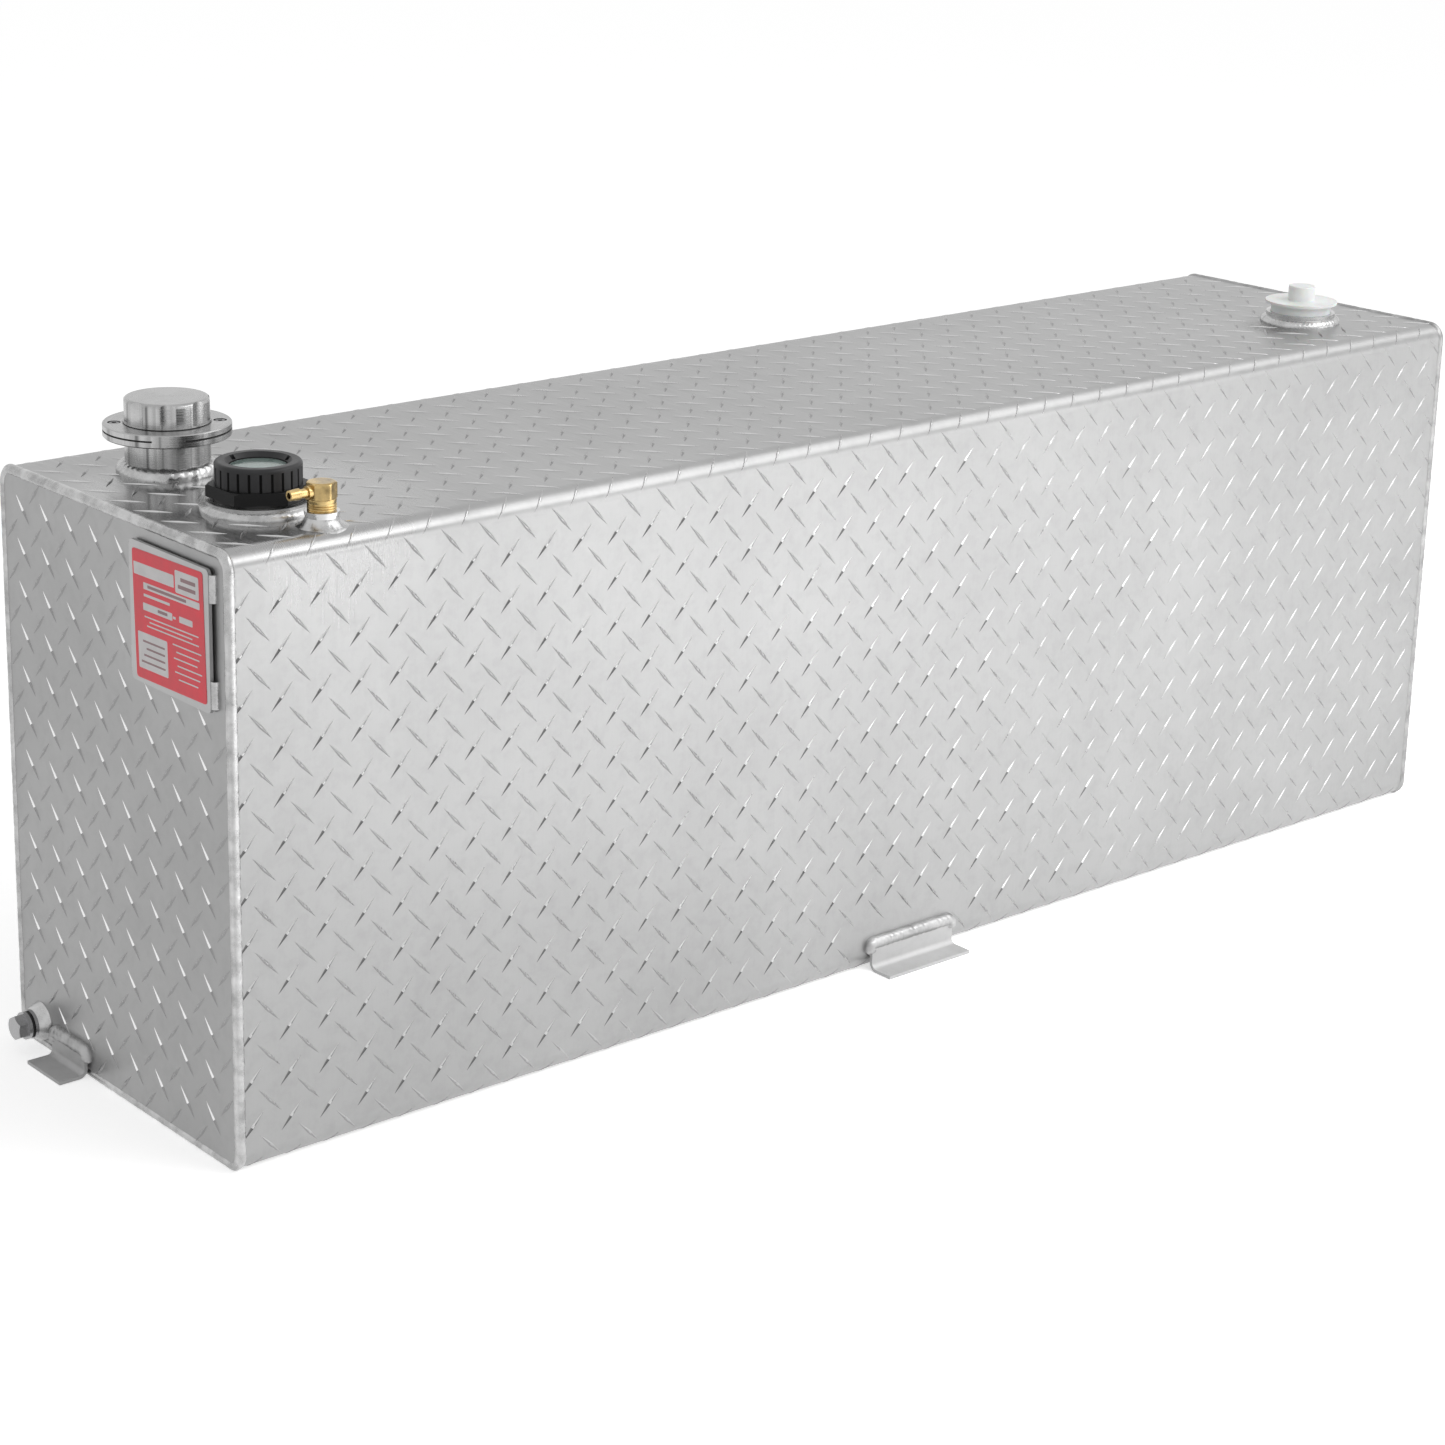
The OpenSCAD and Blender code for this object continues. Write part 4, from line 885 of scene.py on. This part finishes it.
def printed_blocks(blocks, x, cy, cz, tilt):
    """Rounded plates of the given blocks, turned by tilt round the label's middle at cy, cz."""
    ct, st = math.cos(tilt), math.sin(tilt)
    verts, faces = [], []
    for y0, y1, z0, z1, r in blocks:
        y0, y1 = y0 - HALF_Y - cy, y1 - HALF_Y - cy
        z0, z1 = z0 - cz, z1 - cz
        r = min(r, (y1 - y0) / 2.01, (z1 - z0) / 2.01)
        corners = ((y1 - r, z1 - r, 0), (y0 + r, z1 - r, 90), (y0 + r, z0 + r, 180), (y1 - r, z0 + r, 270))
        ring = []
        for ay, az, a0 in corners:
            for k in range(5):
                a = math.radians(a0 + 22.5 * k)
                ring.append((ay + r * math.cos(a), az + r * math.sin(a)))
        base = len(verts)
        for dx in (PRINT_DEEP, 0.0):
            for a, b in ring:
                verts.append(Vector((x + dx, cy + a * ct - b * st, cz + a * st + b * ct)) * MM)
        n = len(ring)
        faces.append(tuple(base + n + k for k in range(n)))
        for k in range(n):
            faces.append((base + k, base + (k + 1) % n, base + n + (k + 1) % n, base + n + k))
    return verts, faces


def label_print():
    """Plain blocks and rules on the label, with no lettering."""
    lo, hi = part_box("label")
    cy, cz = (lo.y + hi.y) / 2 * 1000, (lo.z + hi.z) / 2 * 1000
    x = lo.x * 1000 - PRINT_OFF
    tilt = label_tilt()
    white = printed_blocks(WHITE_BLOCKS, x, cy, cz, tilt)
    piece("label_print_white", *white, PRINT, "tank", "label_red", smooth=False)
    verts, faces = printed_blocks(GREY_BLOCKS, x, cy, cz, tilt)
    verts = [Vector((v.x - GREY_OFF * MM, v.y, v.z)) for v in verts]
    piece("label_print_rules", verts, faces, RULES, "tank", "label_red", smooth=False)


label_print()


# Stage, light, camera

def direct_rays(tree):
    """1 for rays that see a surface straight, in a reflection or through glass, 0 for spread light."""
    path = tree.nodes.new("ShaderNodeLightPath")
    total = path.outputs["Is Camera Ray"]
    for kind in ("Is Glossy Ray", "Is Transmission Ray"):
        either = tree.nodes.new("ShaderNodeMath")
        either.operation = "MAXIMUM"
        tree.links.new(total, either.inputs[0])
        tree.links.new(path.outputs[kind], either.inputs[1])
        total = either.outputs[0]
    return total


def cleared_tree(block):
    block.use_nodes = True
    tree = block.node_tree
    for n in list(tree.nodes):
        tree.nodes.remove(n)
    return tree


def mixed(tree, fac, spread_light, seen):
    mix = tree.nodes.new("ShaderNodeMixShader")
    tree.links.new(fac, mix.inputs[0])
    tree.links.new(spread_light.outputs[0], mix.inputs[1])
    tree.links.new(seen.outputs[0], mix.inputs[2])
    return mix


FLOOR_TONE, FLOOR_GLOW, FLOOR_HALF, FLOOR_Z = 0.86, 0.56, 40, -0.0003
SKY_LIGHT, SKY_SEEN = 0.50, 1.0


def stage():
    """A pale matt floor with a glow that only rays that see it pick up, so that it keeps the shadow."""
    m = bpy.data.materials.new("floor_pale")
    t = cleared_tree(m)
    out = t.nodes.new("ShaderNodeOutputMaterial")
    matt = t.nodes.new("ShaderNodeBsdfDiffuse")
    matt.inputs["Color"].default_value = (FLOOR_TONE, FLOOR_TONE, FLOOR_TONE, 1)
    glow = t.nodes.new("ShaderNodeEmission")
    glow.inputs["Color"].default_value = (1, 1, 1, 1)
    glow.inputs["Strength"].default_value = FLOOR_GLOW
    black = t.nodes.new("ShaderNodeEmission")
    black.inputs["Strength"].default_value = 0.0
    add = t.nodes.new("ShaderNodeAddShader")
    t.links.new(matt.outputs[0], add.inputs[0])
    t.links.new(mixed(t, direct_rays(t), black, glow).outputs[0], add.inputs[1])
    t.links.new(add.outputs[0], out.inputs["Surface"])
    me = bpy.data.meshes.new("floor")
    corners = [(x * FLOOR_HALF, y * FLOOR_HALF, FLOOR_Z) for x, y in ((-1, -1), (1, -1), (1, 1), (-1, 1))]
    me.from_pydata(corners, [], [(0, 1, 2, 3)])
    me.materials.append(m)
    o = bpy.data.objects.new("floor", me)
    bpy.context.scene.collection.objects.link(o)


def world():
    """A white studio all round, of which only half lights the part."""
    w = bpy.data.worlds.new("studio")
    bpy.context.scene.world = w
    t = cleared_tree(w)
    out = t.nodes.new("ShaderNodeOutputWorld")
    soft = t.nodes.new("ShaderNodeBackground")
    soft.inputs["Strength"].default_value = SKY_LIGHT
    seen = t.nodes.new("ShaderNodeBackground")
    seen.inputs["Strength"].default_value = SKY_SEEN
    for b in (soft, seen):
        b.inputs["Color"].default_value = (1, 1, 1, 1)
    t.links.new(mixed(t, direct_rays(t), soft, seen).outputs[0], out.inputs["Surface"])


def lamp(name, at, aim, size, power, spread=180):
    d = bpy.data.lights.new(name, "AREA")
    d.shape = "RECTANGLE"
    d.size, d.size_y = size
    d.energy = power
    d.spread = math.radians(spread)
    o = bpy.data.objects.new(name, d)
    bpy.context.scene.collection.objects.link(o)
    o.location = at
    o.rotation_euler = (Vector(aim) - Vector(at)).to_track_quat("-Z", "Y").to_euler()


# The camera that was fitted to the photograph: its width and focal length in pixels, its optical centre, its
# place in metres, and its right, down and forward directions
PHOTO_WIDTH, FOCAL, CENTRE_U, CENTRE_V = 1445, 3234.2, 640.0, 600.0
CAMERA_AT = Vector((-1.9722, -2.1450, 1.1648))
CAMERA_RIGHT = (0.771570, -0.635933, 0.016419)
CAMERA_DOWN = (-0.168960, -0.229742, -0.958473)
CAMERA_FORWARD = (0.613297, 0.736755, -0.284709)


def camera():
    d = bpy.data.cameras.new("camera")
    d.sensor_width = 36.0
    d.sensor_fit = "HORIZONTAL"
    d.lens = FOCAL / PHOTO_WIDTH * 36
    d.shift_x = (PHOTO_WIDTH / 2 - CENTRE_U) / PHOTO_WIDTH
    d.shift_y = -(PHOTO_WIDTH / 2 - CENTRE_V) / PHOTO_WIDTH
    d.clip_end = 200
    o = bpy.data.objects.new("camera", d)
    bpy.context.scene.collection.objects.link(o)
    m = Matrix.Identity(4)
    for i in range(3):
        m[i][0], m[i][1], m[i][2] = CAMERA_RIGHT[i], -CAMERA_DOWN[i], -CAMERA_FORWARD[i]
        m[i][3] = CAMERA_AT[i]
    o.matrix_world = m
    bpy.context.scene.camera = o


stage()
world()
lamp("key", (1.9, -1.5, 2.7), (0.1, -0.2, 0.25), (2.9, 2.0), 34)
lamp("front", (2.5, -3.7, 0.72), (0.0, -0.17, 0.45), (3.4, 1.25), 23)
lamp("floor_wash", (0.6, -1.75, 1.35), (0.65, -1.6, 0), (2.2, 1.3), 25, spread=115)
camera()
bpy.context.scene.view_settings.view_transform = "Standard"
